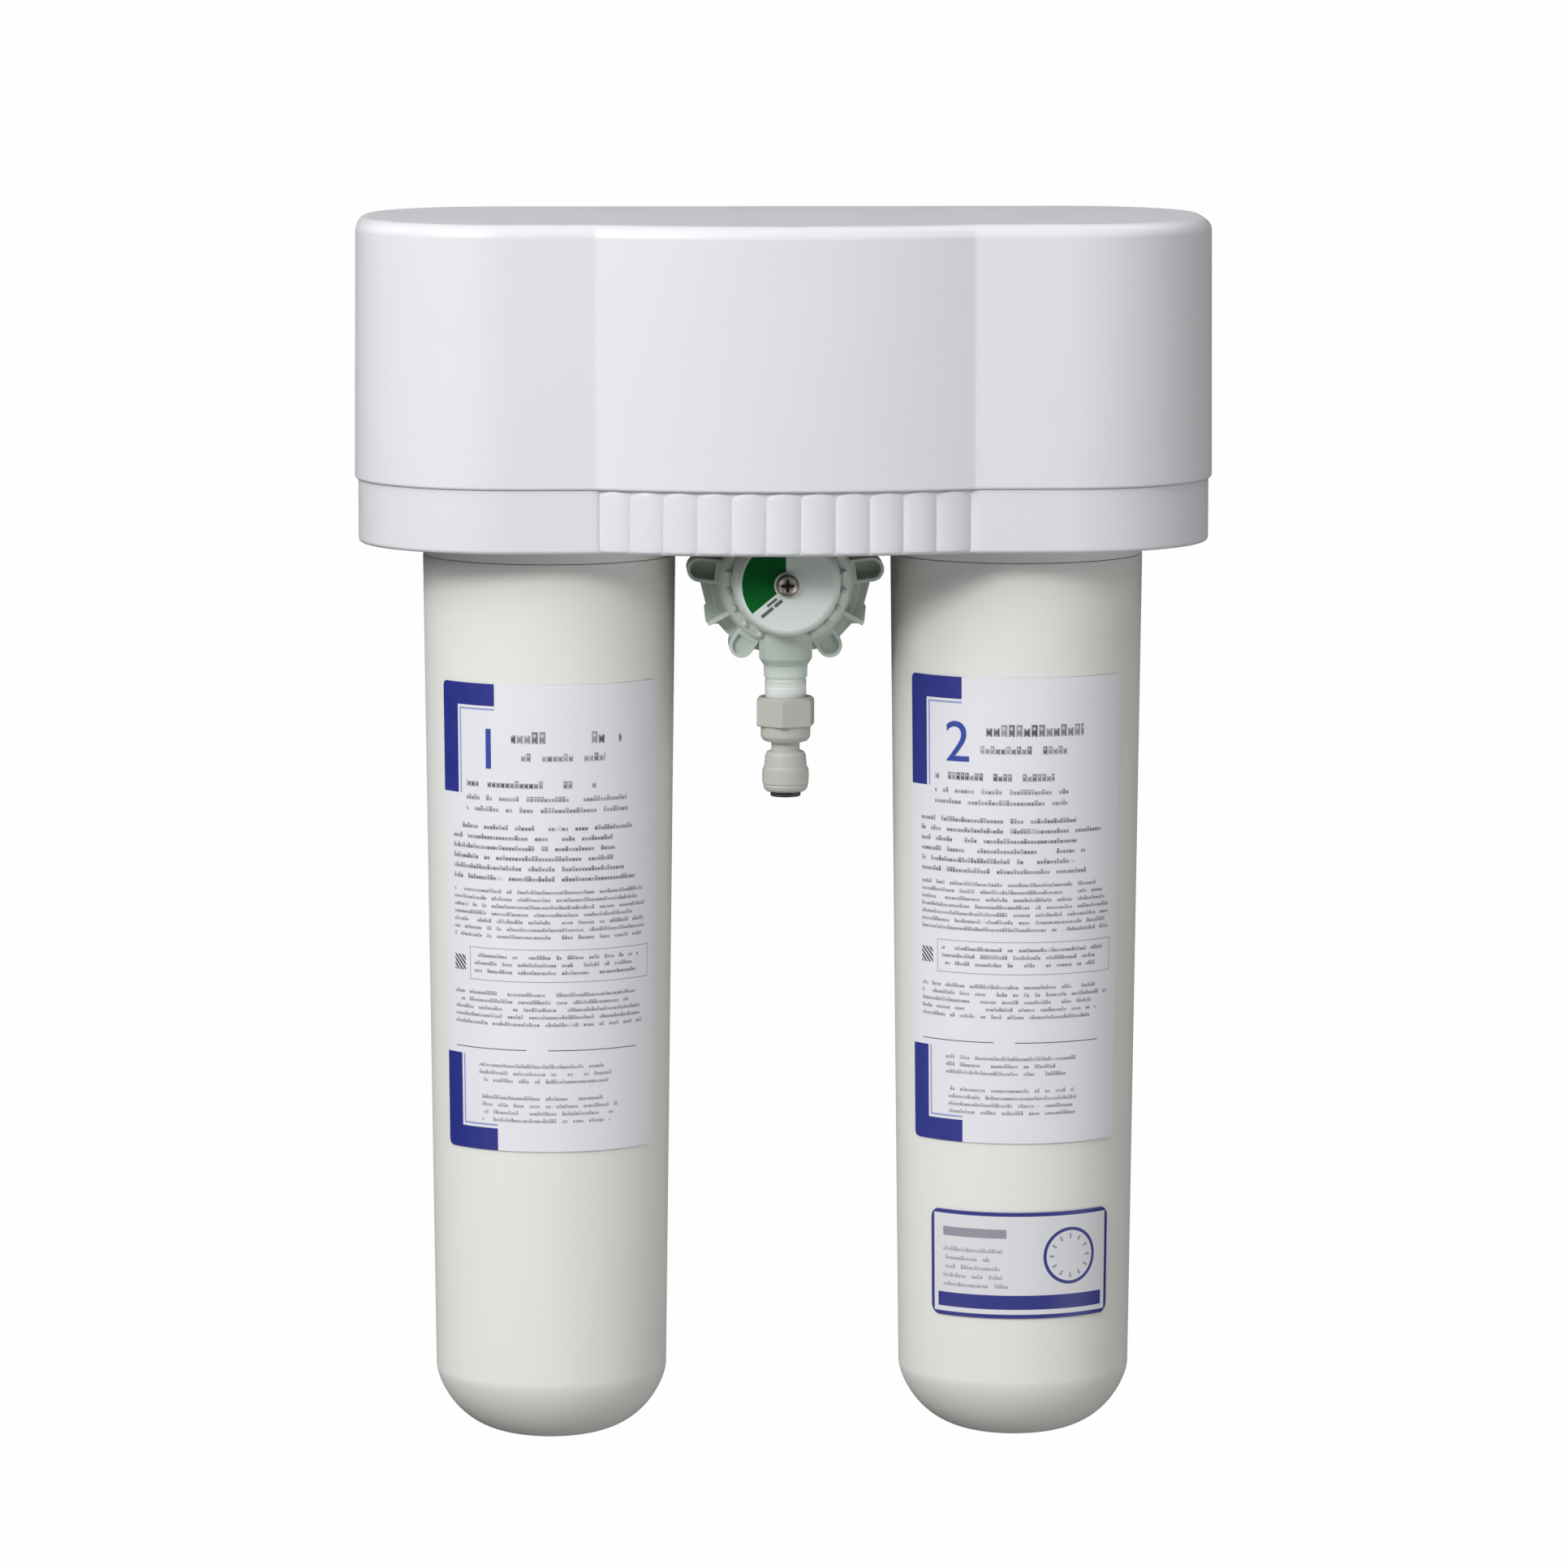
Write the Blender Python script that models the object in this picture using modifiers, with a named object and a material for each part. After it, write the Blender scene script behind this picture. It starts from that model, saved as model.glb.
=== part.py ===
"""Twin-cartridge under-sink water filter.

A white hood and a fluted lower band hold two valved filter heads on a folded
steel wall bracket. Two domed cartridges hang from the heads by quarter-turn
bayonets, and a flow meter with a coloured dial hangs between them and ends in
a push-fit outlet.

Frame: the wall is the plane y = 0, the front faces -Y, +X is to the right and
+Z is up. The origin is the centre of the bracket's back face. The constants
are in millimetres, and MM turns them into metres.
"""

import math

import bmesh
import bpy
from mathutils import Matrix, Vector

MM = 0.001
GAP = 0.3  # clearance between pieces that touch

# Hood and lower band
HOOD_HALF_WIDTH = 139.15
HOOD_TOP_HALF_WIDTH = 138.6
HOOD_BACK_Y = -1.0
HOOD_FRONT_Y = -116.0
FRONT_BULGE = 11.5  # how far the middle panel stands in front of the flat ends
PANEL_HALF_WIDTH = 61.2
FRONT_CORNER_R = 50.0
BACK_CORNER_R = 45.0
HOOD_TOP_Z = 52.5
SEAM_Z = -31.9
BAND_BOTTOM_Z = -52.5
HOOD_WALL = 2.8
HOOD_TOP_THICKNESS = 3.0
HOOD_EDGE_R = 4.5
BAND_INSET = 1.1
BAND_EDGE_R = 2.5
FLOOR_THICKNESS = 2.8
BAND_BULGE = 10.2
FLUTES = 11
FLUTE_DEPTH = 1.6
RIM_TOP_Z = -25.0

# Wall bracket
BRACKET_HALF_WIDTH = 100.0
BRACKET_HALF_HEIGHT = 44.0
BRACKET_THICKNESS = 2.5
SHELF_DEPTH = 82.0
KEYHOLE_X = 62.0
KEYHOLE_Z = 14.0
KEYHOLE_R = 6.0
KEYHOLE_SLOT = 6.0

# Cartridges and heads
AXIS_X = 76.2
AXIS_Y = -58.0
RING_Z = -57.2
SHELL_TOP_R = 41.1
SHELL_LOW_R = 37.8
DOME_START_Z = -326.3
SHELL_BOTTOM_Z = -349.4
SHELL_WALL = 2.6
NECK_R = 17.0
SOCKET_R = 18.2
HEAD_TOP_Z = 41.2
LEDGE_TOP_Z = -41.1
CAM_DROP = 4.0

# Meter
METER_Z = -64.0
DIAL_R = 17.7
DIAL_FACE_Y = -100.0
DIAL_RIM_Y = -89.0
BOSS_R = 4.0
# Each boss: its angle from straight down and its distance from the middle.
BOSSES = ((34.0, 25.6), (97.0, 28.1), (159.0, 26.5), (-34.0, 25.6), (-97.0, 28.1), (-159.0, 26.5))
RIB_ANGLES = (60.5, 127.5, -60.5, -127.5)
NECK_Y = -83.0
GEAR_MODULE = 0.6
DIAL_TEETH = 28
PINION_TEETH = 12
GEAR_CENTRES = 12.25
PINION_ANGLE = 50.0

# Ports, for 6.35 mm tube
TUBE_R = 3.175
TUBE_BORE_R = 3.5
INLET_Y = -28.0
UPPER_PORT_Z = 12.0
LOWER_PORT_Z = -8.0


# ---------------------------------------------------------------- scene set-up

for old in list(bpy.data.objects):
    bpy.data.objects.remove(old, do_unlink=True)

PARTS = bpy.data.collections.new("under_sink_water_filter")
CUTTERS = bpy.data.collections.new("cutters")
bpy.context.scene.collection.children.link(PARTS)
bpy.context.scene.collection.children.link(CUTTERS)


def material(name, colour, roughness, metallic=0.0, transmission=0.0):
    made = bpy.data.materials.new(name)
    made.use_nodes = True
    shader = made.node_tree.nodes["Principled BSDF"]
    shader.inputs["Base Color"].default_value = (*colour, 1.0)
    shader.inputs["Roughness"].default_value = roughness
    shader.inputs["Metallic"].default_value = metallic
    shader.inputs["Transmission Weight"].default_value = transmission
    return made


def empty(name, place):
    made = bpy.data.objects.new(name, None)
    made.empty_display_size = 0.02
    made.location = Vector(place) * MM
    PARTS.objects.link(made)
    return made


def put(name, mesh, mat, place=(0, 0, 0), parent=None, turn=(0, 0, 0)):
    """An object of this mesh at a place in millimetres, kept there when it has a parent."""
    made = bpy.data.objects.new(name, mesh)
    if mat is None:
        CUTTERS.objects.link(made)
        made.hide_render = True
        made.display_type = "WIRE"
    else:
        PARTS.objects.link(made)
        mesh.materials.clear()
        mesh.materials.append(mat)
    made.location = Vector(place) * MM
    made.rotation_euler = turn
    if parent is not None:
        made.parent = parent
        made.location = Vector(place) * MM - parent.location
    return made


def boolean(target, operand, operation="DIFFERENCE"):
    step = target.modifiers.new(f"{operation.lower()}_{operand.name}", "BOOLEAN")
    step.operation = operation
    step.solver = "EXACT"
    step.object = operand
    return step


def box(name, low, high, mat=None, bevel=0.0, parent=None):
    mesh = bpy.data.meshes.new(name)
    shape = bmesh.new()
    bmesh.ops.create_cube(shape, size=1.0)
    low, high = Vector(low) * MM, Vector(high) * MM
    size = high - low
    bmesh.ops.scale(shape, vec=size, verts=shape.verts)
    shape.to_mesh(mesh)
    shape.free()
    made = put(name, mesh, mat, (low + high) / 2 / MM, parent)
    if bevel:
        edge = made.modifiers.new("edges", "BEVEL")
        edge.width = bevel * MM
        edge.segments = 2
    return made


def cylinder(name, radius, low, high, centre, axis="Z", mat=None, segments=24, top_radius=None, parent=None):
    """A round bar from low to high along the axis. centre holds its other two coordinates."""
    mesh = bpy.data.meshes.new(name)
    shape = bmesh.new()
    bmesh.ops.create_cone(
        shape, cap_ends=True, segments=segments, radius1=radius * MM,
        radius2=(radius if top_radius is None else top_radius) * MM, depth=(high - low) * MM,
    )
    middle = (low + high) / 2
    if axis == "X":
        bmesh.ops.rotate(shape, matrix=Matrix.Rotation(math.pi / 2, 3, "Y"), verts=shape.verts)
        place = (middle, centre[0], centre[1])
    elif axis == "Y":
        bmesh.ops.rotate(shape, matrix=Matrix.Rotation(-math.pi / 2, 3, "X"), verts=shape.verts)
        place = (centre[0], middle, centre[1])
    else:
        place = (centre[0], centre[1], middle)
    for face in shape.faces:
        face.smooth = True
    shape.to_mesh(mesh)
    shape.free()
    mesh.set_sharp_from_angle(angle=math.radians(35))
    return put(name, mesh, mat, place, parent)


def turned(name, profile, centre, mat=None, axis="Z", steps=28, ring=False, parent=None, angle=360.0, start=0.0):
    """A turned piece. profile lists (radius, height) down the outer side; ring closes it on itself.

    With axis Z, centre is (x, y) and heights are z. With axis Y, centre is (x, z) and heights are y.
    """
    mesh = bpy.data.meshes.new(name)
    reach = 1.0 if axis == "Z" else -1.0
    points = [(r * MM, 0.0, reach * h * MM) for r, h in profile]
    edges = [(i, i + 1) for i in range(len(points) - 1)]
    if ring:
        edges.append((len(points) - 1, 0))
    mesh.from_pydata(points, edges, [])
    if axis == "Z":
        place, turn = (centre[0], centre[1], 0), (0, 0, start)
    else:
        place, turn = (centre[0], 0, centre[1]), (math.pi / 2, 0, 0)
    made = put(name, mesh, mat, place, parent, turn)
    spin = made.modifiers.new("turn", "SCREW")
    spin.axis = "Z"
    spin.angle = math.radians(angle)
    spin.steps = spin.render_steps = steps
    spin.use_merge_vertices = angle == 360.0
    spin.merge_threshold = 0.00005
    spin.use_smooth_shade = True
    return made


def torus(name, ring_r, wire_r, centre, height, mat, axis="Z", steps=24, parent=None, sides=6):
    profile = [
        (ring_r + wire_r * math.cos(a), height + wire_r * math.sin(a) * (1 if axis == "Z" else -1))
        for a in (-2 * math.pi * (i + 0.5) / sides for i in range(sides))
    ]
    return turned(name, profile, centre, mat, axis, steps, ring=True, parent=parent)


def solid_mesh(maker):
    """The evaluated mesh of an object in world space, which then takes its place."""
    bpy.context.view_layer.update()
    graph = bpy.context.evaluated_depsgraph_get()
    mesh = bpy.data.meshes.new_from_object(maker.evaluated_get(graph))
    mesh.transform(maker.matrix_world)
    shape = bmesh.new()
    shape.from_mesh(mesh)
    bmesh.ops.remove_doubles(shape, verts=shape.verts, dist=0.00001)
    bmesh.ops.recalc_face_normals(shape, faces=shape.faces)
    shape.to_mesh(mesh)
    shape.free()
    bpy.data.objects.remove(maker, do_unlink=True)
    return mesh


def outline_mesh(name, outlines, low, high):
    """A flat outline, with any inner outlines as holes, made into a plate from z = low to high."""
    flat = bpy.data.curves.new(name, "CURVE")
    flat.dimensions = "2D"
    flat.fill_mode = "BOTH"
    flat.extrude = (high - low) / 2 * MM
    for points in outlines:
        line = flat.splines.new("POLY")
        line.points.add(len(points) - 1)
        for point, (x, y) in zip(line.points, points):
            point.co = (x * MM, y * MM, 0, 1)
        line.use_cyclic_u = True
    maker = bpy.data.objects.new(name + "_outline", flat)
    CUTTERS.objects.link(maker)
    maker.location = (0, 0, (low + high) / 2 * MM)
    mesh = solid_mesh(maker)
    if len(outlines) == 1:
        shape = bmesh.new()
        shape.from_mesh(mesh)
        for level in (low, high):
            cap = [f for f in shape.faces if all(abs(v.co.z - level * MM) < 1e-6 for v in f.verts)]
            bmesh.ops.dissolve_faces(shape, faces=cap)
        shape.to_mesh(mesh)
        shape.free()
    return mesh


def round_level(mesh, height, radius, segments=4):
    """Rounds the outline's edge at one height."""
    shape = bmesh.new()
    shape.from_mesh(mesh)
    loop = [
        e for e in shape.edges
        if all(abs(v.co.z - height * MM) < 1e-6 for v in e.verts) and any(abs(f.normal.z) < 0.5 for f in e.link_faces)
    ]
    bmesh.ops.bevel(
        shape, geom=loop, offset=radius * MM, offset_type="OFFSET", segments=segments, profile=0.5,
        affect="EDGES", clamp_overlap=True,
    )
    for face in shape.faces:
        face.smooth = True
    shape.to_mesh(mesh)
    shape.free()
    mesh.set_sharp_from_angle(angle=math.radians(30))


def arc(cx, cy, r, a0, a1, steps):
    return [
        (cx + r * math.cos(math.radians(a0 + (a1 - a0) * i / steps)),
         cy + r * math.sin(math.radians(a0 + (a1 - a0) * i / steps)))
        for i in range(steps + 1)
    ]


def panel_bow(front, bulge):
    """The bowed middle panel's radius, its centre's y and the angle at its edges."""
    r = (PANEL_HALF_WIDTH ** 2 + bulge ** 2) / (2 * bulge)
    return r, front - bulge + r, math.asin(PANEL_HALF_WIDTH / r)


def plan(inset, back=None, bulge=FRONT_BULGE, half_width=HOOD_HALF_WIDTH, corner_steps=6):
    """The hood's outline seen from above, anticlockwise, moved inwards by inset."""
    hw = half_width - inset
    back = HOOD_BACK_Y - inset if back is None else back
    front = HOOD_FRONT_Y + inset
    rf, rb = FRONT_CORNER_R - inset, BACK_CORNER_R - inset
    r, centre_y, edge = panel_bow(front, bulge)
    steps = 12
    points = [
        (r * math.sin(edge * (2 * i / steps - 1)), centre_y - r * math.cos(edge * (2 * i / steps - 1)))
        for i in range(steps + 1)
    ]
    points += arc(hw - rf, front + rf, rf, -90, 0, corner_steps)
    points += arc(hw - rb, back - rb, rb, 0, 90, corner_steps)
    points += arc(-hw + rb, back - rb, rb, 90, 180, corner_steps)
    points += arc(-hw + rf, front + rf, rf, 180, 270, corner_steps)
    return points


# ------------------------------------------------------------------- materials

WHITE = material("white_gloss_abs", (0.78, 0.78, 0.80), 0.3)
WHITE_BAND = material("white_band_abs", (0.74, 0.74, 0.77), 0.35)
IVORY = material("cartridge_polypropylene", (0.72, 0.72, 0.67), 0.5)
LABEL = material("label_film", (0.80, 0.80, 0.84), 0.4)
HEAD = material("head_grey_plastic", (0.55, 0.56, 0.57), 0.45)
ROTOR = material("rotor_acetal", (0.70, 0.70, 0.68), 0.4)
STEEL = material("zinc_plated_steel", (0.62, 0.62, 0.63), 0.35, 1.0)
METER = material("meter_translucent_green", (0.62, 0.72, 0.67), 0.35, 0.0, 0.3)
DIAL = material("dial_white", (0.80, 0.82, 0.81), 0.4)
GEAR = material("gear_acetal", (0.85, 0.85, 0.80), 0.4)
FITTING = material("fitting_grey_beige", (0.52, 0.51, 0.48), 0.45)
COLLET = material("collet_dark_grey", (0.10, 0.11, 0.11), 0.5)
RUBBER = material("rubber_black", (0.02, 0.02, 0.02), 0.7)
CARBON = material("carbon_block", (0.03, 0.03, 0.03), 0.9)
TUBE = material("tube_white", (0.78, 0.79, 0.80), 0.4)

# ------------------------------------------------- empties on the joints' axes

HOOD_LIFT = empty("hood_lift_axis", (0, -58, SEAM_Z))
DIAL_AXIS = empty("dial_axis", (0, DIAL_FACE_Y, METER_Z))
PINION_X = GEAR_CENTRES * math.cos(math.radians(PINION_ANGLE))
PINION_Z = METER_Z + GEAR_CENTRES * math.sin(math.radians(PINION_ANGLE))
PINION_AXIS = empty("pinion_axis", (PINION_X, -83.8, PINION_Z))
IMPELLER_X, IMPELLER_Z = -8.5, METER_Z - 7.5
IMPELLER_AXIS = empty("impeller_axis", (IMPELLER_X, -78.0, IMPELLER_Z))
TWIST = {
    1: empty("cartridge_1_axis", (-AXIS_X, AXIS_Y, 0)),
    2: empty("cartridge_2_axis", (AXIS_X, AXIS_Y, 0)),
}
OUTLET_AXIS = empty("outlet_collet_axis", (0, NECK_Y, -134.3))
INLET_AXIS = empty("inlet_collet_axis", (0, INLET_Y, -80.7))

# ------------------------------------------------------------------- the hood

hood_mesh = outline_mesh("top_cover", [plan(0.0)], SEAM_Z, HOOD_TOP_Z)
narrow = HOOD_TOP_HALF_WIDTH / HOOD_HALF_WIDTH
for vertex in hood_mesh.vertices:
    if vertex.co.z > 0:
        vertex.co.x *= narrow
        vertex.co.y = AXIS_Y * MM + (vertex.co.y - AXIS_Y * MM) * narrow
round_level(hood_mesh, HOOD_TOP_Z, HOOD_EDGE_R, 3)
top_cover = put("top_cover", hood_mesh, WHITE, (0, 0, 0))
top_cover.parent = HOOD_LIFT
top_cover.location = -HOOD_LIFT.location

hood_hollow_mesh = outline_mesh("hood_hollow", [plan(HOOD_WALL)], SEAM_Z - 5, HOOD_TOP_Z - HOOD_TOP_THICKNESS)
for vertex in hood_hollow_mesh.vertices:
    if vertex.co.z > 0:
        vertex.co.x *= narrow
        vertex.co.y = AXIS_Y * MM + (vertex.co.y - AXIS_Y * MM) * narrow
round_level(hood_hollow_mesh, HOOD_TOP_Z - HOOD_TOP_THICKNESS, 2.0, 2)
boolean(top_cover, put("hood_hollow", hood_hollow_mesh, None))
boolean(
    top_cover,
    box("hood_back_opening", (-BRACKET_HALF_WIDTH - 5, -7.5, SEAM_Z - 8), (BRACKET_HALF_WIDTH + 5, 6, 46.8)),
)

# ------------------------------------------------------------- the lower band

band_mesh = outline_mesh(
    "base_housing", [plan(BAND_INSET, back=-2.8, bulge=BAND_BULGE)], BAND_BOTTOM_Z, SEAM_Z - GAP
)
round_level(band_mesh, BAND_BOTTOM_Z, BAND_EDGE_R, 2)
base_housing = put("base_housing", band_mesh, WHITE_BAND)
bow_r, bow_y, bow_edge = panel_bow(HOOD_FRONT_Y + BAND_INSET, BAND_BULGE)
flute_half = bow_r * bow_edge / FLUTES
for number in range(FLUTES):
    a = bow_edge * ((2 * number + 1) / FLUTES - 1)
    high, low = SEAM_Z - 1.6, BAND_BOTTOM_Z + 1.0
    ends = [(flute_half * math.sin(math.radians(t)), high - 2.0 * (1 - math.cos(math.radians(t)))) for t in (0, 90)]
    ends += [(flute_half * math.sin(math.radians(t)), low + 2.0 * (1 + math.cos(math.radians(t)))) for t in (90, 180)]
    ends[0], ends[-1] = (0, high), (0, low)
    flute = turned(f"flute_{number + 1}", ends, (0, 0), None, steps=8)
    flute.location = Vector(((bow_r - 0.4) * math.sin(a), bow_y - (bow_r - 0.4) * math.cos(a), 0)) * MM
    flute.rotation_euler = (0, 0, a)
    flute.scale = (1, (FLUTE_DEPTH + 0.4) / flute_half, 1)
    boolean(base_housing, flute, "UNION")
rim = put("band_rim", outline_mesh("band_rim", [plan(3.2, back=-4.2)], BAND_BOTTOM_Z + 1.5, RIM_TOP_Z), None)
boolean(base_housing, rim, "UNION")
cavity = put(
    "band_cavity", outline_mesh("band_cavity", [plan(5.2, back=-6.2)], BAND_BOTTOM_Z + FLOOR_THICKNESS, 0), None
)
boolean(base_housing, cavity)
for side, x in (("left", -AXIS_X), ("right", AXIS_X)):
    boolean(base_housing, cylinder(f"cartridge_opening_{side}", 42.0, -60, -40, (x, AXIS_Y), segments=32))
boolean(base_housing, box("meter_opening", (-30, -108, -60), (30, -68.5, -40)))
boolean(base_housing, cylinder("inlet_opening", 8.5, -60, -40, (0, INLET_Y)))
for side, x in (("left", -60.0), ("right", 60.0)):
    boolean(base_housing, cylinder(f"base_screw_hole_{side}", 2.2, -12, 3, (x, -40.0), "Y", segments=10))
for side, x in (("left", -17.0), ("right", 17.0)):
    boolean(base_housing, cylinder(f"tab_screw_pilot_{side}", 1.7, -60, -40, (x, -61.0), segments=8))

# ----------------------------------------------------------------- the bracket


def bracket_section():
    """The side view of the folded sheet: (y, z) points, anticlockwise."""
    t, top, low = BRACKET_THICKNESS, BRACKET_HALF_HEIGHT, -BRACKET_HALF_HEIGHT
    bend = 3.0
    points = [(-t, low), (0, low)]
    points += arc(-t - 0.5, top - t - 0.5, bend, 0, 90, 4)
    points += [(-SHELF_DEPTH, top), (-SHELF_DEPTH, top - t)]
    points += [(-t - 0.5, top - t), (-t, top - t - 0.5)]
    return points


section = outline_mesh("wall_bracket", [bracket_section()], -BRACKET_HALF_WIDTH, BRACKET_HALF_WIDTH)
# The section's first axis is the model's Y, its second is Z, and the sheet's width runs along X.
section.transform(Matrix(((0, 0, 1, 0), (1, 0, 0, 0), (0, 1, 0, 0), (0, 0, 0, 1))))
wall_bracket = put("wall_bracket", section, STEEL)


def keyhole(x):
    """A round hole with a narrower slot above it."""
    half = KEYHOLE_SLOT / 2
    rise = math.sqrt(KEYHOLE_R ** 2 - half ** 2)
    low = math.degrees(math.asin(rise / KEYHOLE_R))
    points = arc(x, KEYHOLE_Z, KEYHOLE_R, 180 - low, 360 + low, 12)
    points += arc(x, KEYHOLE_Z + 14, half, 0, 180, 4)
    return points


for side, x in (("left", -KEYHOLE_X), ("right", KEYHOLE_X)):
    hole = outline_mesh(f"keyhole_{side}", [keyhole(x)], -6, 6)
    hole.transform(Matrix(((1, 0, 0, 0), (0, 0, -1, 0), (0, 1, 0, 0), (0, 0, 0, 1))))
    boolean(wall_bracket, put(f"keyhole_{side}", hole, None))
boolean(wall_bracket, cylinder("lock_screw_hole", 2.6, -6, 6, (0, -28.0), "Y", segments=12))
HEAD_SCREW_OFFSET = 16.0
for side, x in (("left", -60.0), ("right", 60.0)):
    boolean(wall_bracket, cylinder(f"base_screw_thread_{side}", 2.1, -6, 6, (x, -40.0), "Y", segments=10))
for head, cx in ((1, -AXIS_X), (2, AXIS_X)):
    for letter, dx in (("a", -HEAD_SCREW_OFFSET), ("b", HEAD_SCREW_OFFSET)):
        boolean(
            wall_bracket,
            cylinder(f"shelf_hole_{head}{letter}", 2.3, 35, 50, (cx + dx, AXIS_Y), segments=8),
        )

# ---------------------------------------------------------------------- screws


def screw(name, centre, seat, tip, head_r, head_h, shank_r, axis="Z", mat=STEEL, parent=None, steps=8):
    """A pan-head screw. seat is the height under its head, and tip is the far end of its shank."""
    out = 1.0 if seat > tip else -1.0
    top = seat + out * head_h
    profile = [
        (0, top), (head_r * 0.75, top), (head_r, top - out * head_h * 0.4), (head_r, seat), (shank_r, seat),
        (shank_r, tip + out * shank_r), (0, tip),
    ]
    # A profile has to run from the model's high end to its low end of the turning axis.
    high_first = (out > 0) if axis == "Z" else (out < 0)
    if not high_first:
        profile.reverse()
    return turned(name, profile, centre, mat, axis, steps, parent=parent)


for head, cx in ((1, -AXIS_X), (2, AXIS_X)):
    for letter, dx in (("a", -HEAD_SCREW_OFFSET), ("b", HEAD_SCREW_OFFSET)):
        screw(f"head_screw_{head}{letter}", (cx + dx, AXIS_Y), BRACKET_HALF_HEIGHT + GAP, 28.0, 4.2, 2.6, 1.8)
for side, x in (("left", -60.0), ("right", 60.0)):
    screw(f"base_screw_{side}", (x, -40.0), -6.5, -0.4, 4.0, 2.4, 1.8, "Y")
for side, x in (("left", -17.0), ("right", 17.0)):
    screw(f"meter_tab_screw_{side}", (x, -61.0), -46.6, -54.0, 3.2, 2.0, 1.35, steps=6)

# ----------------------------------------------------------- filter heads


def filter_head(index, cx, inward):
    """A head with a socket for the cartridge's neck. inward is +1 or -1, towards the middle."""
    profile = [
        (0, HEAD_TOP_Z), (27.0, HEAD_TOP_Z), (27.0, 35.0), (21.5, 33.0), (21.5, 25.5),
        (29.0, 20.5), (29.0, -22.0), (34.0, -27.0), (34.0, -44.0), (28.0, -44.0), (28.0, -27.0),
        (SOCKET_R, -26.0), (SOCKET_R, 19.0), (0, 19.0),
    ]
    head = turned(f"filter_head_{index}", profile, (cx, AXIS_Y), HEAD, steps=22)
    for z, place in ((UPPER_PORT_Z, "upper"), (LOWER_PORT_Z, "lower")):
        ends = sorted((cx + inward * 24.0, cx + inward * 37.0))
        boolean(head, cylinder(f"head_{index}_{place}_stub", 7.0, *ends, (AXIS_Y, z), "X", segments=12), "UNION")
    # Two arcs of ledge carry the cartridge's ears, a quarter turn apart from the two gaps that let them out.
    for number, middle in ((1, 0.0), (2, 180.0)):
        arm = turned(
            f"head_{index}_ledge_{number}",
            [(28.8, LEDGE_TOP_Z), (28.8, LEDGE_TOP_Z - 2.8), (19.0, LEDGE_TOP_Z - 2.8), (19.0, LEDGE_TOP_Z)],
            (cx, AXIS_Y), None, steps=6, ring=True, angle=96.0, start=math.radians(middle - 48.0),
        )
        mesh = solid_mesh(arm)
        shape = bmesh.new()
        shape.from_mesh(mesh)
        bmesh.ops.holes_fill(shape, edges=[e for e in shape.edges if e.is_boundary], sides=8)
        bmesh.ops.recalc_face_normals(shape, faces=shape.faces)
        shape.to_mesh(mesh)
        shape.free()
        boolean(head, put(f"head_{index}_ledge_{number}", mesh, None), "UNION")
    for z, place in ((UPPER_PORT_Z, "upper"), (LOWER_PORT_Z, "lower")):
        ends = sorted((cx + inward * 15.0, cx + inward * 40.0))
        boolean(head, cylinder(f"head_{index}_{place}_bore", TUBE_BORE_R, *ends, (AXIS_Y, z), "X", segments=12))
    for letter, dx in (("a", -HEAD_SCREW_OFFSET), ("b", HEAD_SCREW_OFFSET)):
        boolean(head, cylinder(f"head_{index}_pilot_{letter}", 2.1, 27.0, 50.0, (cx + dx, AXIS_Y), segments=8))
    return head


filter_head(1, -AXIS_X, 1)
filter_head(2, AXIS_X, -1)

# ------------------------------------------------------------ valve rotors


def valve_rotor(index, cx):
    """The disc in the head that the cartridge's key turns to open or shut the water ways."""
    rotor = turned(
        f"valve_rotor_{index}",
        [(0, 18.6), (16.4, 18.6), (17.8, 17.4), (17.8, 2.0), (0, 2.0)],
        (cx, AXIS_Y), ROTOR, steps=24, parent=TWIST[index],
    )
    rotor.location = (0, 0, 0)
    boolean(rotor, box(f"rotor_{index}_key_slot", (cx - 3.4, AXIS_Y - 12.6, -1), (cx + 3.4, AXIS_Y + 12.6, 9.2)))
    return rotor


# ---------------------------------------------------------------- cartridges


def shell_radius(z):
    """The radius of the cartridge's tapered side at a height."""
    share = (z - (RING_Z - 0.2)) / (DOME_START_Z - (RING_Z - 0.2))
    return SHELL_TOP_R + (SHELL_LOW_R - SHELL_TOP_R) * share


def dome(radius, start, bottom, steps):
    """The domed end: full at its side and nearly flat in its middle."""
    points = []
    for i in range(steps + 1):
        a = math.pi / 2 * i / steps
        points.append((radius * math.cos(a) ** (2 / 3.2) if i < steps else 0.0,
                       start - (start - bottom) * math.sin(a) ** (2 / 1.45)))
    return points


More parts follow.
